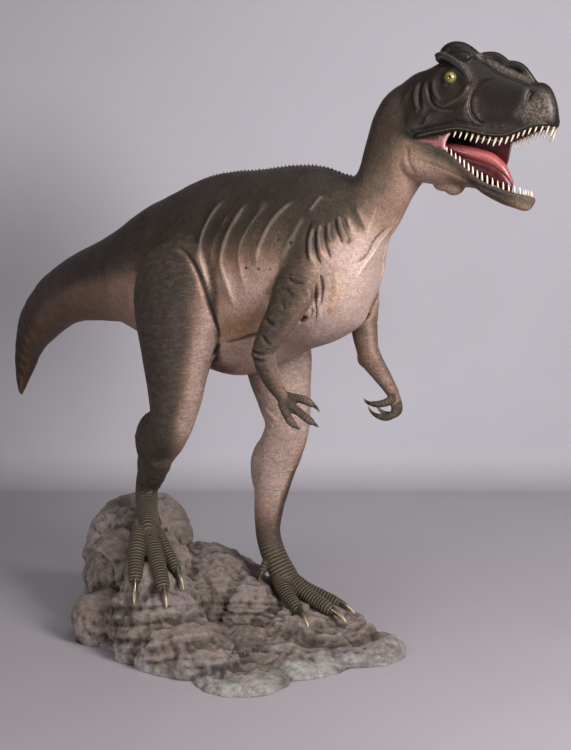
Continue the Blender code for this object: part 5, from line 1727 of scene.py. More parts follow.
def dressed(piece, finish, slot, *nodes):
    """Gives a finished piece its material and its body, and hides the solids it stands for. The slot is not
    used.
    """
    if finish is not None:
        piece.data.materials.clear()
        piece.data.materials.append(finish)
    piece.data.shade_smooth()
    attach(piece, "root")
    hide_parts(*nodes)
    return piece


painted_hide = hide_finish()
dressed(skin, painted_hide, "painted_hide", *FLESH_NODES)
print("the skin stands for", len(FLESH_NODES), "solids")

# %% [markdown]
# ## Rows of small things: teeth, back scutes and beads
# Some eighty teeth, a row of scutes along the spine, and fine beaded scales on the brows are the same
# small shape repeated along a line. Placing them by hand would be dull and uneven. Geometry Nodes
# resamples the line at an even pitch and sets one shape at each point, turned to the line's
# direction and to a stored direction of growth.


# %% A path with its directions of growth
def path_piece(name, points, ups, sizes):
    """A line of points as a mesh, with the direction and size of what will grow on it."""
    mesh = bpy.data.meshes.new(name)
    mesh.from_pydata([tuple(p) for p in points], [(i, i + 1) for i in range(len(points) - 1)], [])
    grow = mesh.attributes.new("grow", "FLOAT_VECTOR", "POINT")
    grow.data.foreach_set("vector", np.asarray(ups, np.float32).ravel())
    size = mesh.attributes.new("size", "FLOAT", "POINT")
    size.data.foreach_set("value", np.asarray(sizes, np.float32))
    return shown(name, mesh)


# %% The tree that grows a row of spikes or beads
def row_tree(name, shape, finish):
    """Geometry Nodes: a spike or a bead at every step of a path."""
    tree, given, result = group_tree(
        name,
        [("Path", "Geometry", None), ("Spacing", "Float", 0.02), ("Length", "Float", 0.03),
         ("Radius", "Float", 0.008), ("Flatness", "Float", 1.0), ("Bluntness", "Float", 0.05),
         ("Backward bend", "Float", 0.0), ("Root", "Float", 0.01), ("Size spread", "Float", 0.1),
         ("Seed", "Int", None)],
        [("Row", "Geometry")],
        "GeometryNodeTree",
    )
    curve = out(tree, "GeometryNodeMeshToCurve", {0: given["Path"]})
    pitch = {"Curve": curve, "Length": given["Spacing"]}
    even = out(tree, "GeometryNodeResampleCurve", pitch, mode="LENGTH")
    if shape == "spike":
        top = given["Radius"] * given["Bluntness"]
        measures = {"Radius Top": top, "Radius Bottom": given["Radius"], "Depth": given["Length"]}
        one = out(tree, "GeometryNodeMeshCone", {"Vertices": 8, "Side Segments": 4, **measures})
    else:
        one = out(tree, "GeometryNodeMeshUVSphere", {"Segments": 8, "Rings": 5, "Radius": given["Radius"]})
    at = wires(put(tree, "ShaderNodeSeparateXYZ", {0: out(tree, "GeometryNodeInputPosition")}))
    share = at["Z"] / given["Length"]
    belly = share * (1.0 - share) * (0.9 if shape == "spike" else 0.0)
    back = share * share * given["Backward bend"]
    x = at["X"] * (belly + 1.0) - back
    y = at["Y"] * (belly + 1.0) * given["Flatness"]
    spot = out(tree, "ShaderNodeCombineXYZ", {0: x, 1: y, 2: at["Z"] - given["Root"]})
    named = out(tree, "GeometryNodeStoreNamedAttribute", {"Geometry": one, "Name": "tip", "Value": share})
    one = out(tree, "GeometryNodeSetPosition", {"Geometry": named, "Position": spot})
    grow = out(tree, "GeometryNodeInputNamedAttribute", {"Name": "grow"}, data_type="FLOAT_VECTOR")
    size = out(tree, "GeometryNodeInputNamedAttribute", {"Name": "size"}, data_type="FLOAT")
    turn = out(tree, "FunctionNodeAlignRotationToVector", {"Vector": grow}, axis="Z")
    tangent = out(tree, "GeometryNodeInputTangent")
    turn = out(tree, "FunctionNodeAlignRotationToVector", {"Rotation": turn, "Vector": tangent}, axis="X",
               pivot_axis="Z")
    spread = {2: 1.0 - given["Size spread"], 3: 1.0 + given["Size spread"], "Seed": given["Seed"]}
    scale = size * out(tree, "FunctionNodeRandomValue", spread, 1)
    setting = {"Points": even, "Instance": one, "Rotation": turn, "Scale": scale}
    rows = out(tree, "GeometryNodeInstanceOnPoints", setting)
    solid = out(tree, "GeometryNodeRealizeInstances", {0: rows})
    painted = out(tree, "GeometryNodeSetMaterial", {"Geometry": solid, "Material": finish})
    join(result["Row"], painted)
    return tree


def grown(path, tree, **values):
    """Runs the tree on a path and keeps its result as a plain mesh."""
    nodes = path.modifiers.new("Row", "NODES")
    nodes.node_group = tree
    for item in tree.interface.items_tree:
        label = item.name.replace(" ", "_")
        if item.in_out == "INPUT" and label in values:
            nodes[item.identifier] = values[label]
    settle(path)
    for spare in [a.name for a in path.data.attributes if a.name in ("grow", "size")]:
        path.data.attributes.remove(path.data.attributes[spare])
    return path


# %% [markdown]
# ## Teeth
# The statue's teeth are ivory spikes that lean back towards the throat, brownish at the gum. Each row
# starts at the back of one side and ends at the front. They are a little longer in the middle of the
# jaw than at its ends.

# %% Tooth finish
# Brown at the gum to ivory at the tip: partly a stain, partly painted shade at the root
TOOTH_TONES = ((0.25, (0.200, 0.120, 0.050)), (0.45, (0.420, 0.330, 0.200)), (0.75, (0.640, 0.560, 0.470)))


def tooth_finish():
    """Ivory, brown at the gum: a stain deepened as painted shade."""
    tree, shader, place, made = finish_of("Tooth ivory", 0.22, Coat_Weight=0.4, Coat_Roughness=0.1)
    colour = ramp(mask(tree, "tip"), TOOTH_TONES)
    colour = mottled(colour, place, 70.0, 0.5)
    wear(shader, colour)
    return made


# %% Grow the four rows of teeth
TOOTH_INSET = 0.013


def gum(table, squareness, u, v, upper):
    """Where a jaw's flat edge lies at u and v."""
    half, top, low = profile_at(table, u)
    reach = (1 - min(abs(v) / half, 1.0) ** squareness) ** (1 / squareness)
    return (top + low) / 2 + (-1 if upper else 1) * reach * (top - low) / 2


def tooth_row(name, table, span, upper, side):
    """The path of one row of teeth along the gum."""
    points, ups, sizes = [], [], []
    for share in np.linspace(0.0, 1.0, 30):
        u = span[0] + (span[1] - span[0]) * share
        half = profile_at(table, u)[0]
        v = side * max(half - TOOTH_INSET, NARROWEST)
        w = profile_at(table, u)[2] + 0.003 if upper else gum(table, 5.0, u, v, upper)
        splay = np.array((-0.02, side * 0.04, -1.0 if upper else 1.0))
        points.append(from_head(u, v, w))
        ups.append(unit(splay @ HEAD_AXES))
        front = 0.45 * eased(0.86, 1.0, share) if upper else 0.0
        sizes.append(0.62 + 0.38 * math.sin(math.pi * (0.12 + 0.80 * share)) + front)
    return path_piece(name, points, ups, sizes)


tooth_ivory = tooth_finish()
tooth_tree = row_tree("Row of teeth", "spike", tooth_ivory)
# Each row: its jaw, its span along u, upper or lower, its side, the teeth's length and their spacing
tooth_rows = (
    ("teeth_upper_right", SKULL, (0.206, 0.536), True, -1, 0.047, 0.0205),
    ("teeth_upper_left", SKULL, (0.206, 0.536), True, 1, 0.056, 0.0140),
    ("teeth_lower_right", JAW, (0.185, 0.502), False, -1, 0.041, 0.0205),
    ("teeth_lower_left", JAW, (0.185, 0.502), False, 1, 0.041, 0.0180),
)
for seed, (name, table, span, upper, side, length, pitch) in enumerate(tooth_rows):
    row = tooth_row(name, table, span, upper, side)
    grown(row, tooth_tree, Spacing=pitch, Length=length, Radius=0.0052, Flatness=0.8, Bluntness=0.34,
          Backward_bend=0.005, Root=0.014, Size_spread=0.10, Seed=seed + 3)
    dressed(row, None, "claw")
    print(name, len(row.data.polygons) // 40, "teeth")

# %% [markdown]
# ## Scutes along the spine
# From the nape to the tail's tip runs one row of small, backward-leaning scutes, which gives the back
# its saw-toothed outline. They use the same tree as the teeth, with a longer and thinner foot.

# %% Scute and bead finish, and the row of scutes
def scute_finish():
    """Dark horny scales, paler at their tips from wear."""
    tree, shader, place, made = finish_of("Horny scale", 0.45, Coat_Weight=0.1, Coat_Roughness=0.3)
    colour = ramp(mask(tree, "tip"), ((0.2, (0.022, 0.019, 0.016)), (1.0, (0.06, 0.05, 0.04))))
    colour = mottled(colour, place, 55.0, 0.8)
    grain = use(scaly, Place=place, Scale=160.0)
    wear(shader, colour, None, grain["Height"], 0.0006)
    return made


def spine_path():
    """The back's line, cut short at both ends, with each scute's size."""
    marks = marks_on(BACK_LINE)
    total = marks[-1]
    place = np.linspace(0.10, total - 0.14, 160)
    points = read_off(BACK_LINE, marks, place)
    ups = [unit(p - q) for p, q in zip(points, read_off(BELLY_LINE, marks, place))]
    sizes = np.minimum(1.0, np.minimum(0.45 + place / total, 0.6 + 1.2 * (total - place) / total))
    return path_piece("back_scutes", points, ups, sizes)


horny_scale = scute_finish()
scute_tree = row_tree("Row of scutes", "spike", horny_scale)
scutes = grown(spine_path(), scute_tree, Spacing=0.0185, Length=0.0150, Radius=0.0100, Flatness=0.50,
               Backward_bend=0.004, Root=0.0065, Size_spread=0.18, Seed=11)
dressed(scutes, None, "painted_hide")
print("scutes:", len(scutes.data.polygons) // 40)

# %% [markdown]
# ## Beads on the brows, the snout and the lips
# Small round scales line the edge of the brow, the ridges of the snout and the lips. Their paths must
# lie on the skin itself, so a ray is cast from the side at each place and stops where it meets the
# skin. The same kind of tree then sets a flattened bead at every step.

# %% Find places on the skin
from mathutils.bvhtree import BVHTree

skin_points = points_of(skin)
skin_corners = np.empty(len(skin.data.polygons) * 3, np.int32)
skin.data.polygons.foreach_get("vertices", skin_corners)
skin_tree = BVHTree.FromPolygons(skin_points.tolist(), skin_corners.reshape(-1, 3).tolist())


def on_skin(u, w, side):
    """The place on the head's side at u and w, and the skin's direction there."""
    start = Vector(from_head(u, side * 0.25, w))
    place, normal, _, _ = skin_tree.ray_cast(start, Vector(HEAD_AXES[1] * -side))
    return (place, normal) if place is not None and (place - start).length < 0.26 else (None, None)


# %% Lay the rows of beads
# Each row: its (u, w) path, the beads' radius and their spacing
BEAD_ROWS = {
    "brow": (((0.096, 0.226), (0.120, 0.222), (0.150, 0.209), (0.180, 0.191), (0.205, 0.166),
              (0.222, 0.136)), 0.0030, 0.0066),
    "snout_ridge": (((0.240, 0.232), (0.261, 0.219), (0.294, 0.196), (0.338, 0.178), (0.386, 0.169),
                     (0.424, 0.160)), 0.0034, 0.0076),
    "upper_lip": (((0.080, -0.074), (0.104, -0.066), (0.159, -0.048), (0.211, -0.034), (0.266, -0.036),
                   (0.321, -0.040), (0.374, -0.034), (0.423, -0.009), (0.463, 0.014), (0.510, 0.027)),
                   0.0026, 0.0058),
    "lower_lip": (((0.130, -0.104), (0.191, -0.122), (0.238, -0.152), (0.300, -0.190), (0.359, -0.213),
                   (0.415, -0.223), (0.490, -0.230)), 0.0026, 0.0060),
}
bead_tree = row_tree("Row of beads", "bead", horny_scale)
for name, (path, radius, spacing) in BEAD_ROWS.items():
    for side, word in ((-1, "right"), (1, "left")):
        hits = [on_skin(u, w, side) for u, w in smooth_rows(path, 6)]
        hits = [(place, normal) for place, normal in hits if place is not None]
        row = path_piece("beads_" + name + "_" + word, *zip(*hits), [1.0] * len(hits))
        grown(row, bead_tree, Spacing=spacing, Length=radius, Radius=radius, Flatness=1.0,
              Backward_bend=0.0, Root=0.35 * radius, Size_spread=0.18, Seed=21)
        dressed(row, None, "painted_hide")
print("bead rows:", 2 * len(BEAD_ROWS))

# %% [markdown]
# ## Claws
# Each toe and finger ends in a curved horn: dark olive where it leaves the flesh, glossy ivory at the
# tip. A claw is a short loft whose heading swings downwards, and it stores how near its tip each
# point lies, so that the paint can follow the horn.

# %% Claw finish
def claw_finish():
    """Glossy horn, olive at the root and ivory at the tip, streaked along its length."""
    tree, shader, place, made = finish_of("Claw horn", 0.25, Coat_Weight=0.6, Coat_Roughness=0.08)
    streaks = clouds(place, 120.0, 3.0)
    tip = clamped(mask(tree, "tip") + (streaks - 0.5) * 0.22)
    tones = ((0.30, (0.026, 0.022, 0.012)), (0.50, (0.085, 0.062, 0.028)), (0.70, (0.260, 0.185, 0.090)),
             (0.92, (0.520, 0.430, 0.290)))
    colour = mottled(ramp(tip, tones), place, 80.0, 0.5)
    colour = dry_brushed_and_shaded(colour, (0.72, 0.62, 0.45), 0.2, (0.05, 0.035, 0.018), 0.5)
    wear(shader, colour, None, streaks, 0.0006)
    return made


# %% Shape and place every claw
CLAW_STEPS = 18
CLAW_ROOT = 0.02
TOE_CLAW_TURN = math.radians(38)
FINGER_CLAW_TURN = math.radians(60)
# Length and radius at the root of the claws of the hind toes, the other toes and the fingers
HIND_CLAW = (0.045, 0.0100)
TOE_CLAW = (0.078, 0.0185)
FINGER_CLAW = (0.050, 0.0095)


def claw_piece(name, start, forward, down, length, radius, turns):
    """A curved horn whose heading swings down between two angles from its root to its tip."""
    place = np.array(start, float)
    rows = []
    for share in np.linspace(0.0, 1.0, CLAW_STEPS + 1):
        angle = turns[0] + (turns[1] - turns[0]) * share
        heading = forward * math.cos(angle) + down * math.sin(angle)
        size = radius * (1 - share) ** 0.75 + 0.0011
        rows.append((*place, size * 0.82, size * (1 + 0.10 * math.exp(-((share / 0.2) ** 2)))))
        place = place + heading * (length + CLAW_ROOT) / CLAW_STEPS
    clay = Clay()
    clay.limb(rows, np.cross(forward, down), 1, 16)
    made = clay.made(name)
    shares = np.repeat(np.linspace(0.0, 1.0, CLAW_STEPS + 1), 16)
    keep(made, "tip", shares)
    keep(made, "relief", np.zeros(len(shares)))
    return made


def toe_claw(name):
    """A toe's claw, which bends down to the rock."""
    rows = TOES[name]
    length, radius = HIND_CLAW if name.endswith("hind") else TOE_CLAW
    forward = unit(np.subtract(rows[-1][:3], rows[-3][:3]))
    down = unit(np.array((0.0, 0.0, -1.0)) - forward * -forward[2])
    start = np.array(rows[-2][:3]) + forward * 0.006 - down * radius * 0.25
    turns = (-0.25 * TOE_CLAW_TURN, 0.75 * TOE_CLAW_TURN)
    return claw_piece("toe_claw_piece_" + name, start, forward, down, length, radius, turns)


def finger_claw(name):
    """A finger's claw, which curls toward the palm."""
    rows = np.array(FINGERS[name])
    forward = unit(rows[-1, :3] - rows[-3, :3])
    inward = rows[:2, :3].mean(axis=0) - rows[-1, :3]
    down = unit(inward - forward * np.dot(inward, forward))
    turns = (0.0, FINGER_CLAW_TURN)
    return claw_piece("finger_claw_piece_" + name, rows[-2, :3], forward, down, *FINGER_CLAW, turns)


claw_horn = claw_finish()
for name in TOES:
    dressed(toe_claw(name), claw_horn, "claw", "toe_claw_" + name)
for name in FINGERS:
    dressed(finger_claw(name), claw_horn, "claw", "finger_claw_" + name)
print("claws:", len(TOES) + len(FINGERS))

# %% [markdown]
# ## Eyes
# A glossy ball sits in each socket, with a yellow iris round a dark pupil. The ball is built about
# the line of sight, and stores each point's angle from that line, which is all the iris needs.

# %% Eye finish and the two eyes
def eye_finish():
    """A wet yellow eye."""
    tree, shader, place, made = finish_of("Eye gloss", 0.08, Coat_Weight=1.0, Coat_Roughness=0.02)
    flecks = (clouds(place, 150.0, 3.0) - 0.5) * 0.3
    angle = mask(tree, "gaze") + flecks
    tones = (
        (0.06, (0.080, 0.055, 0.006)), (0.14, (0.160, 0.118, 0.012)), (0.24, (0.140, 0.112, 0.020)),
        (0.34, (0.080, 0.066, 0.022)), (0.42, (0.030, 0.023, 0.014)), (0.54, (0.016, 0.012, 0.010)),
    )
    colour = mottled(ramp(angle, tones), place, 110.0, 1.0)
    pupil = 1.0 - step(mask(tree, "slit") + flecks * 0.2, 0.09, 0.125)
    colour = mixed(pupil, colour, (0.005, 0.004, 0.004))
    wear(shader, colour)
    return made


PUPIL_NARROW = 0.40


def eye_piece(name, side):
    """An eyeball with a slight bulge over the iris."""
    gaze = unit(np.array((0.10, side * 1.0, 0.06)) @ HEAD_AXES)
    across = unit(np.cross(gaze, (0.0, 0.0, 1.0)))
    over = np.cross(across, gaze)
    middle = from_head(EYE_PLACE[0], side * EYE_PLACE[1], EYE_PLACE[2])
    rings, angles, slits = [], [], []
    for angle in np.linspace(0.02, math.pi - 0.02, 24):
        radius = EYE_RADIUS + 0.0010 * math.exp(-((angle / 0.45) ** 2))
        turn = np.arange(32) * 2 * math.pi / 32
        out = np.outer(np.cos(turn), across) + np.outer(np.sin(turn), over)
        rings.append(middle + radius * (math.cos(angle) * gaze + math.sin(angle) * out))
        angles += [angle / math.pi] * 32
        slits += list(angle / math.pi * np.hypot(np.cos(turn) / PUPIL_NARROW, np.sin(turn)))
    clay = Clay()
    clay.rings(rings)
    made = clay.made(name)
    keep(made, "gaze", angles)
    keep(made, "slit", slits)
    return made


eye_gloss = eye_finish()
dressed(eye_piece("eye_piece_right", -1), eye_gloss, "eye", "eye_right")
dressed(eye_piece("eye_piece_left", 1), eye_gloss, "eye", "eye_left")
print("eyes: 2")

# %% [markdown]
# ## Tongue
# A thick salmon tongue lies between the lower teeth, arched, with a groove down its middle. It is one
# loft along the head, with its upper middle pressed in.

# %% Tongue
# Dark red at the throat to salmon at the front: the dark is painted shade deep in the mouth
TONGUE_TONES = ((0.0, (0.060, 0.007, 0.009)), (0.35, (0.150, 0.024, 0.026)), (1.0, (0.300, 0.062, 0.058)))


def tongue_finish():
    """Wet salmon pink, darker towards the throat and in the groove as painted shade."""
    tree, shader, place, made = finish_of("Tongue", 0.30, Coat_Weight=0.5, Coat_Roughness=0.12)
    colour = ramp(mask(tree, "front"), TONGUE_TONES)
    colour = mottled(colour, place, 45.0, 0.45)
    # Painted shade in the groove, where its relief is below nought
    colour = dry_brushed_and_shaded(colour, (0.42, 0.13, 0.11), 0.3, (0.1, 0.012, 0.013), 0.7)
    grain = use(scaly, Place=place, Scale=260.0)
    wear(shader, colour, None, grain["Height"], 0.0005)
    return made


rows = [(u, half, w + thick, w - thick) for u, w, half, thick in TONGUE]
tongue = head_shape("tongue_piece", rows, 5, 32)
places = points_of(tongue)
u, v, w = in_head(places).T
ridge = np.interp(u, [row[0] for row in TONGUE], [row[1] for row in TONGUE])
groove = bell(v, 0.0070) * (w > ridge) * eased(0.425, 0.38, u)
put_points(tongue, places - np.outer(0.0045 * groove, HEAD_AXES[2]))
keep(tongue, "relief", -groove)
keep(tongue, "front", eased(0.10, 0.34, u))
dressed(tongue, tongue_finish(), "tongue", "tongue")
print("tongue:", len(tongue.data.polygons), "faces")

# %% [markdown]
# ## The rock
# The base is a cast rock: tall smooth lobes behind, flat layered ledges in front, and boulders at the
# edge. The same ellipsoids as in the solid are fused, more finely. Then each point is moved: inwards
# in the seams between two masses and in the cracks between broken blocks, whose faces tip this way
# and that; in and out by thin level layers; and by small lumps. Last, what lies under the floor
# is flattened onto it.

# %% Rock masses
# Each mass: its middle and its three half sizes
ROCKS = (
    (-0.845, -0.020, 0.220, 0.200, 0.235, 0.335),
    (-0.720, 0.000, 0.240, 0.190, 0.190, 0.320),
    (-0.740, -0.180, 0.150, 0.200, 0.180, 0.300),
    (-0.560, -0.140, 0.150, 0.190, 0.180, 0.290),
    (-0.480, -0.270, 0.120, 0.150, 0.150, 0.320),
    (-0.420, -0.330, 0.090, 0.190, 0.200, 0.300),
    (-0.360, -0.370, 0.050, 0.210, 0.190, 0.260),
    (-0.250, -0.400, 0.030, 0.220, 0.180, 0.170),
    (-0.690, -0.370, 0.050, 0.140, 0.120, 0.165),
    (-0.400, -0.020, 0.120, 0.180, 0.180, 0.200),
    (-0.250, 0.040, 0.090, 0.170, 0.170, 0.160),
    (-0.060, 0.160, 0.040, 0.280, 0.230, 0.115),
    (0.080, 0.160, 0.030, 0.240, 0.210, 0.080),
    (-0.110, -0.420, 0.040, 0.190, 0.150, 0.095),
    (0.090, -0.420, 0.000, 0.190, 0.190, 0.055),
    (0.260, 0.110, 0.000, 0.220, 0.230, 0.060),
    (-0.560, 0.150, 0.080, 0.360, 0.250, 0.240),
    (-0.260, -0.050, 0.000, 0.640, 0.480, 0.085),
    (-0.215, 0.150, 0.085, 0.115, 0.110, 0.135),
)
ROCK_VOXEL = 0.0070
ROCK_ROUNDING = 4
BELOW_FLOOR = 0.030
ROCK_SEED = 5


def raise_to(piece, floor):
    """Raises every point that lies below a height to that height."""
    places = points_of(piece)
    places[:, 2] = np.maximum(places[:, 2], floor)
    put_points(piece, places)


clay = Clay()
for x, y, z, *radii in ROCKS:
    clay.ball((x, y, z), radii, 18, 32)
rock = clay.made("rock")
raise_to(rock, -BELOW_FLOOR)
fuse(rock, ROCK_VOXEL, ROCK_ROUNDING)
print("rock:", len(rock.data.polygons), "faces")


# %% Weather the rock
def bent_by(places, scale, amount):
    """The places, each shifted by a smooth noise."""
    shifts = [noise.noise_vector(Vector(p) * scale) for p in places]
    return places + np.array([tuple(s) for s in shifts]) * amount


def seams(places):
    """How deep between two of the rock's masses each place lies: 1 in the seam, 0 away from it."""
    depths = []
    for x, y, z, *radii in ROCKS:
        depths.append((np.linalg.norm((places - (x, y, z)) / radii, axis=1) - 1) * min(radii))
    first, second = np.sort(depths, axis=0)[:2]
    return bell(second - first, 0.016)


def blocks(place):
    """Large broken blocks: how near a crack between two of them, and how far this block's face tips."""
    near, centres = noise.voronoi(Vector((place[0] * 3.4, place[1] * 3.4, place[2] * 5.0)))
    crack = bell(near[1] - near[0], 0.075)
    centre = centres[0]
    lean = Vector(tuple(noise.noise_vector(centre * 5.7)))
    tip = (Vector((place[0], place[1], place[2] * 1.5)) - centre / 3.4).dot(lean)
    return crack, max(-0.10, min(0.10, tip)), noise.noise(centre * 9.1)


def courses(place):
    """The edges of thin layers of stone, nearly level, in a rough number between -1 and 1."""
    level = place[2] - 0.20 * place[0] + 0.22 * place[1] + 0.022 * noise.noise(Vector(place) * 2.4)
    thick = noise.noise(Vector((place[0] * 1.6, place[1] * 1.6, level * 24.0)))
    thin = noise.noise(Vector((place[0] * 3.0 + 4.0, place[1] * 3.0, level * 70.0)))
    return max(-1.0, min(1.0, 2.4 * thick)) * 0.60 + thin * 0.75


noise.seed_set(ROCK_SEED)
places = points_of(rock)
normals = points_of(rock, "normal")
bent = bent_by(places, 4.2, 0.055)
seam = seams(bent)
crack, tip, rise = np.array([blocks(p) for p in bent]).T
layered = np.array([courses(p) for p in bent_by(places, 9.0, 0.012)])
lumps = np.array([noise.fractal(Vector(p) * 13.0, 0.85, 2.1, 6) for p in places])
CRAG = (0.75, 2.1, 6, 1.0, 2.0)
craggy = np.array([noise.ridged_multi_fractal(Vector(p) * 9.0, *CRAG) for p in bent_by(places, 6.0, 0.03)])
craggy = (craggy - craggy.mean()) / craggy.std()
x, y, z = places.T
front = eased(-0.20, 0.10, places @ (0.45, -0.55, 0.0))
lips = front * eased(0.055, 0.035, z)
layers_show = eased(0.30, 0.20, z) * eased(-0.72, -0.50, x) * (1 - 0.8 * lips)
rough = 1 - 0.30 * eased(0.30, 0.40, z) - 0.5 * lips
moved = 0.0150 * noise_of(places, 4.3) - 0.0100 * seam + 0.0125 * layered * layers_show
moved += rough * (0.17 * tip + 0.0060 * rise - 0.0035 * crack)
moved += rough * (0.0110 * lumps + 0.0055 * np.clip(craggy, -2.5, 2.0))
toe_lines = [smooth_rows(rows, 3)[:, :3] for rows in TOES.values()]
clear = np.min([near_path(places, line)[0] for line in toe_lines], axis=0)
MOST_IN = -0.045
MOST_OUT = 0.012
moved = np.clip(moved, MOST_IN, MOST_OUT * eased(0.02, 0.09, clear)) * eased(-0.035, 0.010, z)
put_points(rock, places + normals * moved[:, None])
keep(rock, "courses", layered * layers_show)
paler_behind = 0.25 * eased(0.24, 0.34, z) * eased(-0.62, -0.80, x) * (normals[:, 2] < 0.75)
keep(rock, "lips", np.maximum(lips, paler_behind))
keep(rock, "cracks", np.clip(np.maximum(seam, 0.5 * crack * rough), 0, 1))
raise_to(rock, 0.0)
rock.data.validate()
# Fine and broad relief: rounds of smoothing, and the height that counts as full
ROCK_RELIEF = ((4, 0.0022), (24, 0.0080))
fine_part, broad_part = [np.clip(relief_of(rock, rounds) / full, -1, 1) for rounds, full in ROCK_RELIEF]
keep(rock, "relief", 0.5 * fine_part + 0.5 * broad_part)
print("rock weathered:", len(rock.data.polygons), "faces")

# %% [markdown]
# ## The rock's finish
# Grey-brown stone with washes of mauve, olive and a pale green-grey run into each other, dark in the
# cracks as painted shade and nearly white on the front lips. Noise at several sizes mixes the washes,
# the layers draw their own thin dark lines of painted shade, and the shared group paints shade into the
# hollows and dusts what stands out with a pale that is also painted highlight.

# %% Rock finish
STONE_TONES = (
    (0.34, (0.150, 0.118, 0.086)),
    (0.46, (0.225, 0.172, 0.148)),
    (0.56, (0.280, 0.215, 0.200)),
    (0.70, (0.330, 0.300, 0.275)),
)


def rock_finish():
    """Matt painted stone."""
    tree, shader, place, made = finish_of("Painted rock", 0.72, Specular_IOR_Level=0.35)
    wash = ramp(clouds(place, 5.0, 7.0, 0.68), STONE_TONES)
    mauve = step(clouds(place, 13.0, 6.0, 0.68, (1.0, 1.3, 1.8)), 0.48, 0.62)
    colour = mixed(mauve * 0.55, wash, (0.25, 0.165, 0.165))
    green = step(clouds(place, 10.0, 6.0, 0.68, (1.4, 1.0, 1.2)), 0.5, 0.64)
    colour = mixed(green * 0.55, colour, (0.19, 0.18, 0.122))
    tan = step(clouds(place, 17.0, 6.0, 0.68, (1.1, 1.2, 2.0)), 0.52, 0.62)
    colour = mixed(tan * 0.55, colour, (0.33, 0.24, 0.17))
    chalky = mask(tree, "lips") * step(clouds(place, 9.0, 6.0, 0.65), 0.34, 0.56)
    colour = mixed(chalky * 0.85, colour, (0.43, 0.405, 0.385))
    colour = mottled(colour, place, 36.0, 1.35)
    # Dark along the sunk layer lines and in the cracks: painted shade in these recesses
    line = step(mask(tree, "courses") * -1.0, 0.06, 0.55)
    colour = mixed(line * 0.4, colour, (0.07, 0.05, 0.036))
    line = mask(tree, "cracks") * step(clouds(place, 7.0, 4.0), 0.38, 0.6)
    colour = mixed(line * 0.55, colour, (0.05, 0.038, 0.03))
    # Painted shade in the hollows, and a pale dry brush on what stands out that is also painted highlight
    colour = dry_brushed_and_shaded(colour, mixed(0.55, colour, (0.42, 0.375, 0.35)), 0.62, (0.034, 0.026, 0.022), 0.72)
    spots = clouds(place, 60.0, 8.0, 0.72)
    colour = mixed(step(spots, 0.56, 0.68) * 0.38, colour, (0.06, 0.046, 0.038))
    grit = spots + clouds(place, 24.0, 8.0, 0.72) * 1.5
    wear(shader, colour, None, grit, 0.015)
    return made


dressed(rock, rock_finish(), "painted_rock", "rock_base")
print("rock dressed")

# %% [markdown]
# ## The studio
# The statue stood on a pale studio floor before a pale wall, lit softly from the right and above. A
# sheet that curves up from the floor gives the soft horizon of such a studio. The far left of the
# photo lies in half shade, so the wall's paint darkens there. The wall is seen only from its front:
# from behind it lets the camera look through, so that the statue can be viewed from every side.

# %% Floor and wall
WALL_AWAY = 3.75
WALL_HEIGHT = 8.0
WALL_REACH = 9.0
FLOOR_REACH = 12.0
FLOOR_HEIGHT = -0.0005
COVE = 0.30
# The floor grows paler toward the wall, from FLOOR_PAINT to FAR_PAINT, and the curve paler up to
# WALL_PAINT: painted light
FLOOR_PAINT = (0.350, 0.318, 0.342)
FAR_PAINT = (0.480, 0.445, 0.480)
WALL_PAINT = (0.545, 0.515, 0.555)
SHADE_PLACE = (-2.05, 1.60)
SHADE_RADIUS = 0.95
ahead = (CAMERA_AIM - CAMERA_PLACE).to_2d().normalized()
beside = Vector((ahead.y, -ahead.x))


def stage_place(place):
    """Three numbers on the stage: how far ahead, how far to the right, and how high."""
    x, y, z = wires(put(place.tree, "ShaderNodeSeparateXYZ", {0: place})).values()
    away = x * ahead.x + y * ahead.y
    right = x * beside.x + y * beside.y
    return away, right, z


def floor_finish():
    """Plain pale paint, paler toward the wall as painted light."""
    tree, shader, place, made = finish_of("Studio floor", 0.7)
    away = stage_place(place)[0]
    colour = mixed(step(away, -0.6, 3.2), FLOOR_PAINT, FAR_PAINT)
    wear(shader, mottled(colour, place, 1.2, 0.12))
    return made


def wall_finish():
    """The same paint, paler up the curve as painted light, with a painted half shade at the left, and clear
    from behind.
    """
    tree, shader, place, made = finish_of("Studio wall", 0.7)
    _, right, high = stage_place(place)
    colour = mixed(step(high, 0.0, COVE), FAR_PAINT, WALL_PAINT)
    across = calc("POWER", right - SHADE_PLACE[0], 2.0)
    upward = calc("POWER", high - SHADE_PLACE[1], 2.0)
    far = calc("SQRT", across + upward)
    shade = 1.0 - step(far, 0.0, 1.6 * SHADE_RADIUS)
    colour = mixed(shade * 0.75, colour, (0.26, 0.24, 0.262))
    wear(shader, mottled(colour, place, 1.2, 0.1))
    clear = out(tree, "ShaderNodeBsdfTransparent")
    back = out(tree, "ShaderNodeNewGeometry", None, "Backfacing")
    both = out(tree, "ShaderNodeMixShader", {0: back, 1: Wire(shader.outputs[0]), 2: clear})
    join(tree.nodes["Material Output"].inputs["Surface"], both)
    return made


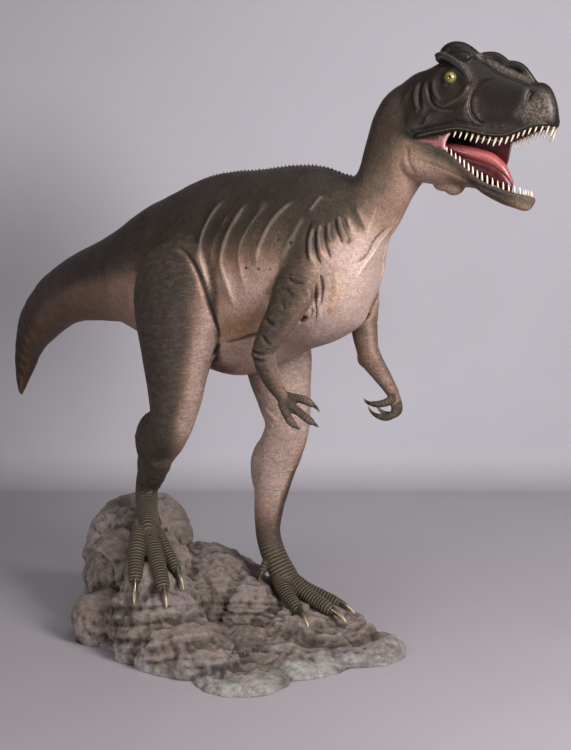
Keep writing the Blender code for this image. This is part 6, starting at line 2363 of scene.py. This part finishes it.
def stage_piece(name, rows, finish):
    """One sheet of the stage, from rows of two points each."""
    mesh = bpy.data.meshes.new(name)
    faces = [(2 * k, 2 * k + 1, 2 * k + 3, 2 * k + 2) for k in range(len(rows) - 1)]
    mesh.from_pydata([tuple(p) for row in rows for p in row], [], faces)
    mesh.materials.append(finish)
    mesh.shade_smooth()
    made = shown(name, mesh)
    return made


edges = (FLOOR_REACH, -FLOOR_REACH)
rows = [[(x, -y, FLOOR_HEIGHT) for y in edges] for x in edges]
stage_piece("studio_floor", rows, floor_finish())
turns = np.linspace(0, math.pi / 2, 13)
profile = [(WALL_AWAY - COVE + COVE * math.sin(a), COVE - COVE * math.cos(a)) for a in turns]
profile.append((WALL_AWAY, WALL_HEIGHT))
sides = (-WALL_REACH, WALL_REACH)
rows = [[(*(ahead * away + beside * side), high) for side in sides] for away, high in profile]
wall = stage_piece("studio_wall", rows, wall_finish())
if wall.data.polygons[-1].normal.to_2d().dot(ahead) > 0:
    wall.data.flip_normals()
print("wall faces the camera:", wall.data.polygons[-1].normal.to_2d().dot(ahead) < 0)


# %% Lights
def soft_light(name, place, aim, size, power, colour=(1.0, 1.0, 1.0)):
    """A large square light aimed at a point."""
    data = bpy.data.lights.new(name, "AREA")
    data.shape = "SQUARE"
    data.size = size
    data.energy = power
    data.color = colour
    lamp = shown(name, data)
    lamp.location = place
    lamp.rotation_euler = (Vector(aim) - Vector(place)).to_track_quat("-Z", "Y").to_euler()


soft_light("Key", (4.3, -1.2, 3.0), (0.0, 3.2, 1.1), 1.8, 350.0)
soft_light("Top", (1.6, -1.4, 4.4), (0.3, 0.0, 0.8), 2.4, 45.0)
soft_light("Fill", (-0.6, -5.4, 1.3), (-0.2, -0.6, 1.0), 2.2, 120.0)
world = bpy.data.worlds.new("Studio air")
world.use_nodes = True
world.node_tree.nodes["Background"].inputs["Color"].default_value = (0.93, 0.93, 1.0, 1.0)
world.node_tree.nodes["Background"].inputs["Strength"].default_value = 0.11
bpy.context.scene.world = world
print("lights: 3 and the room's own")
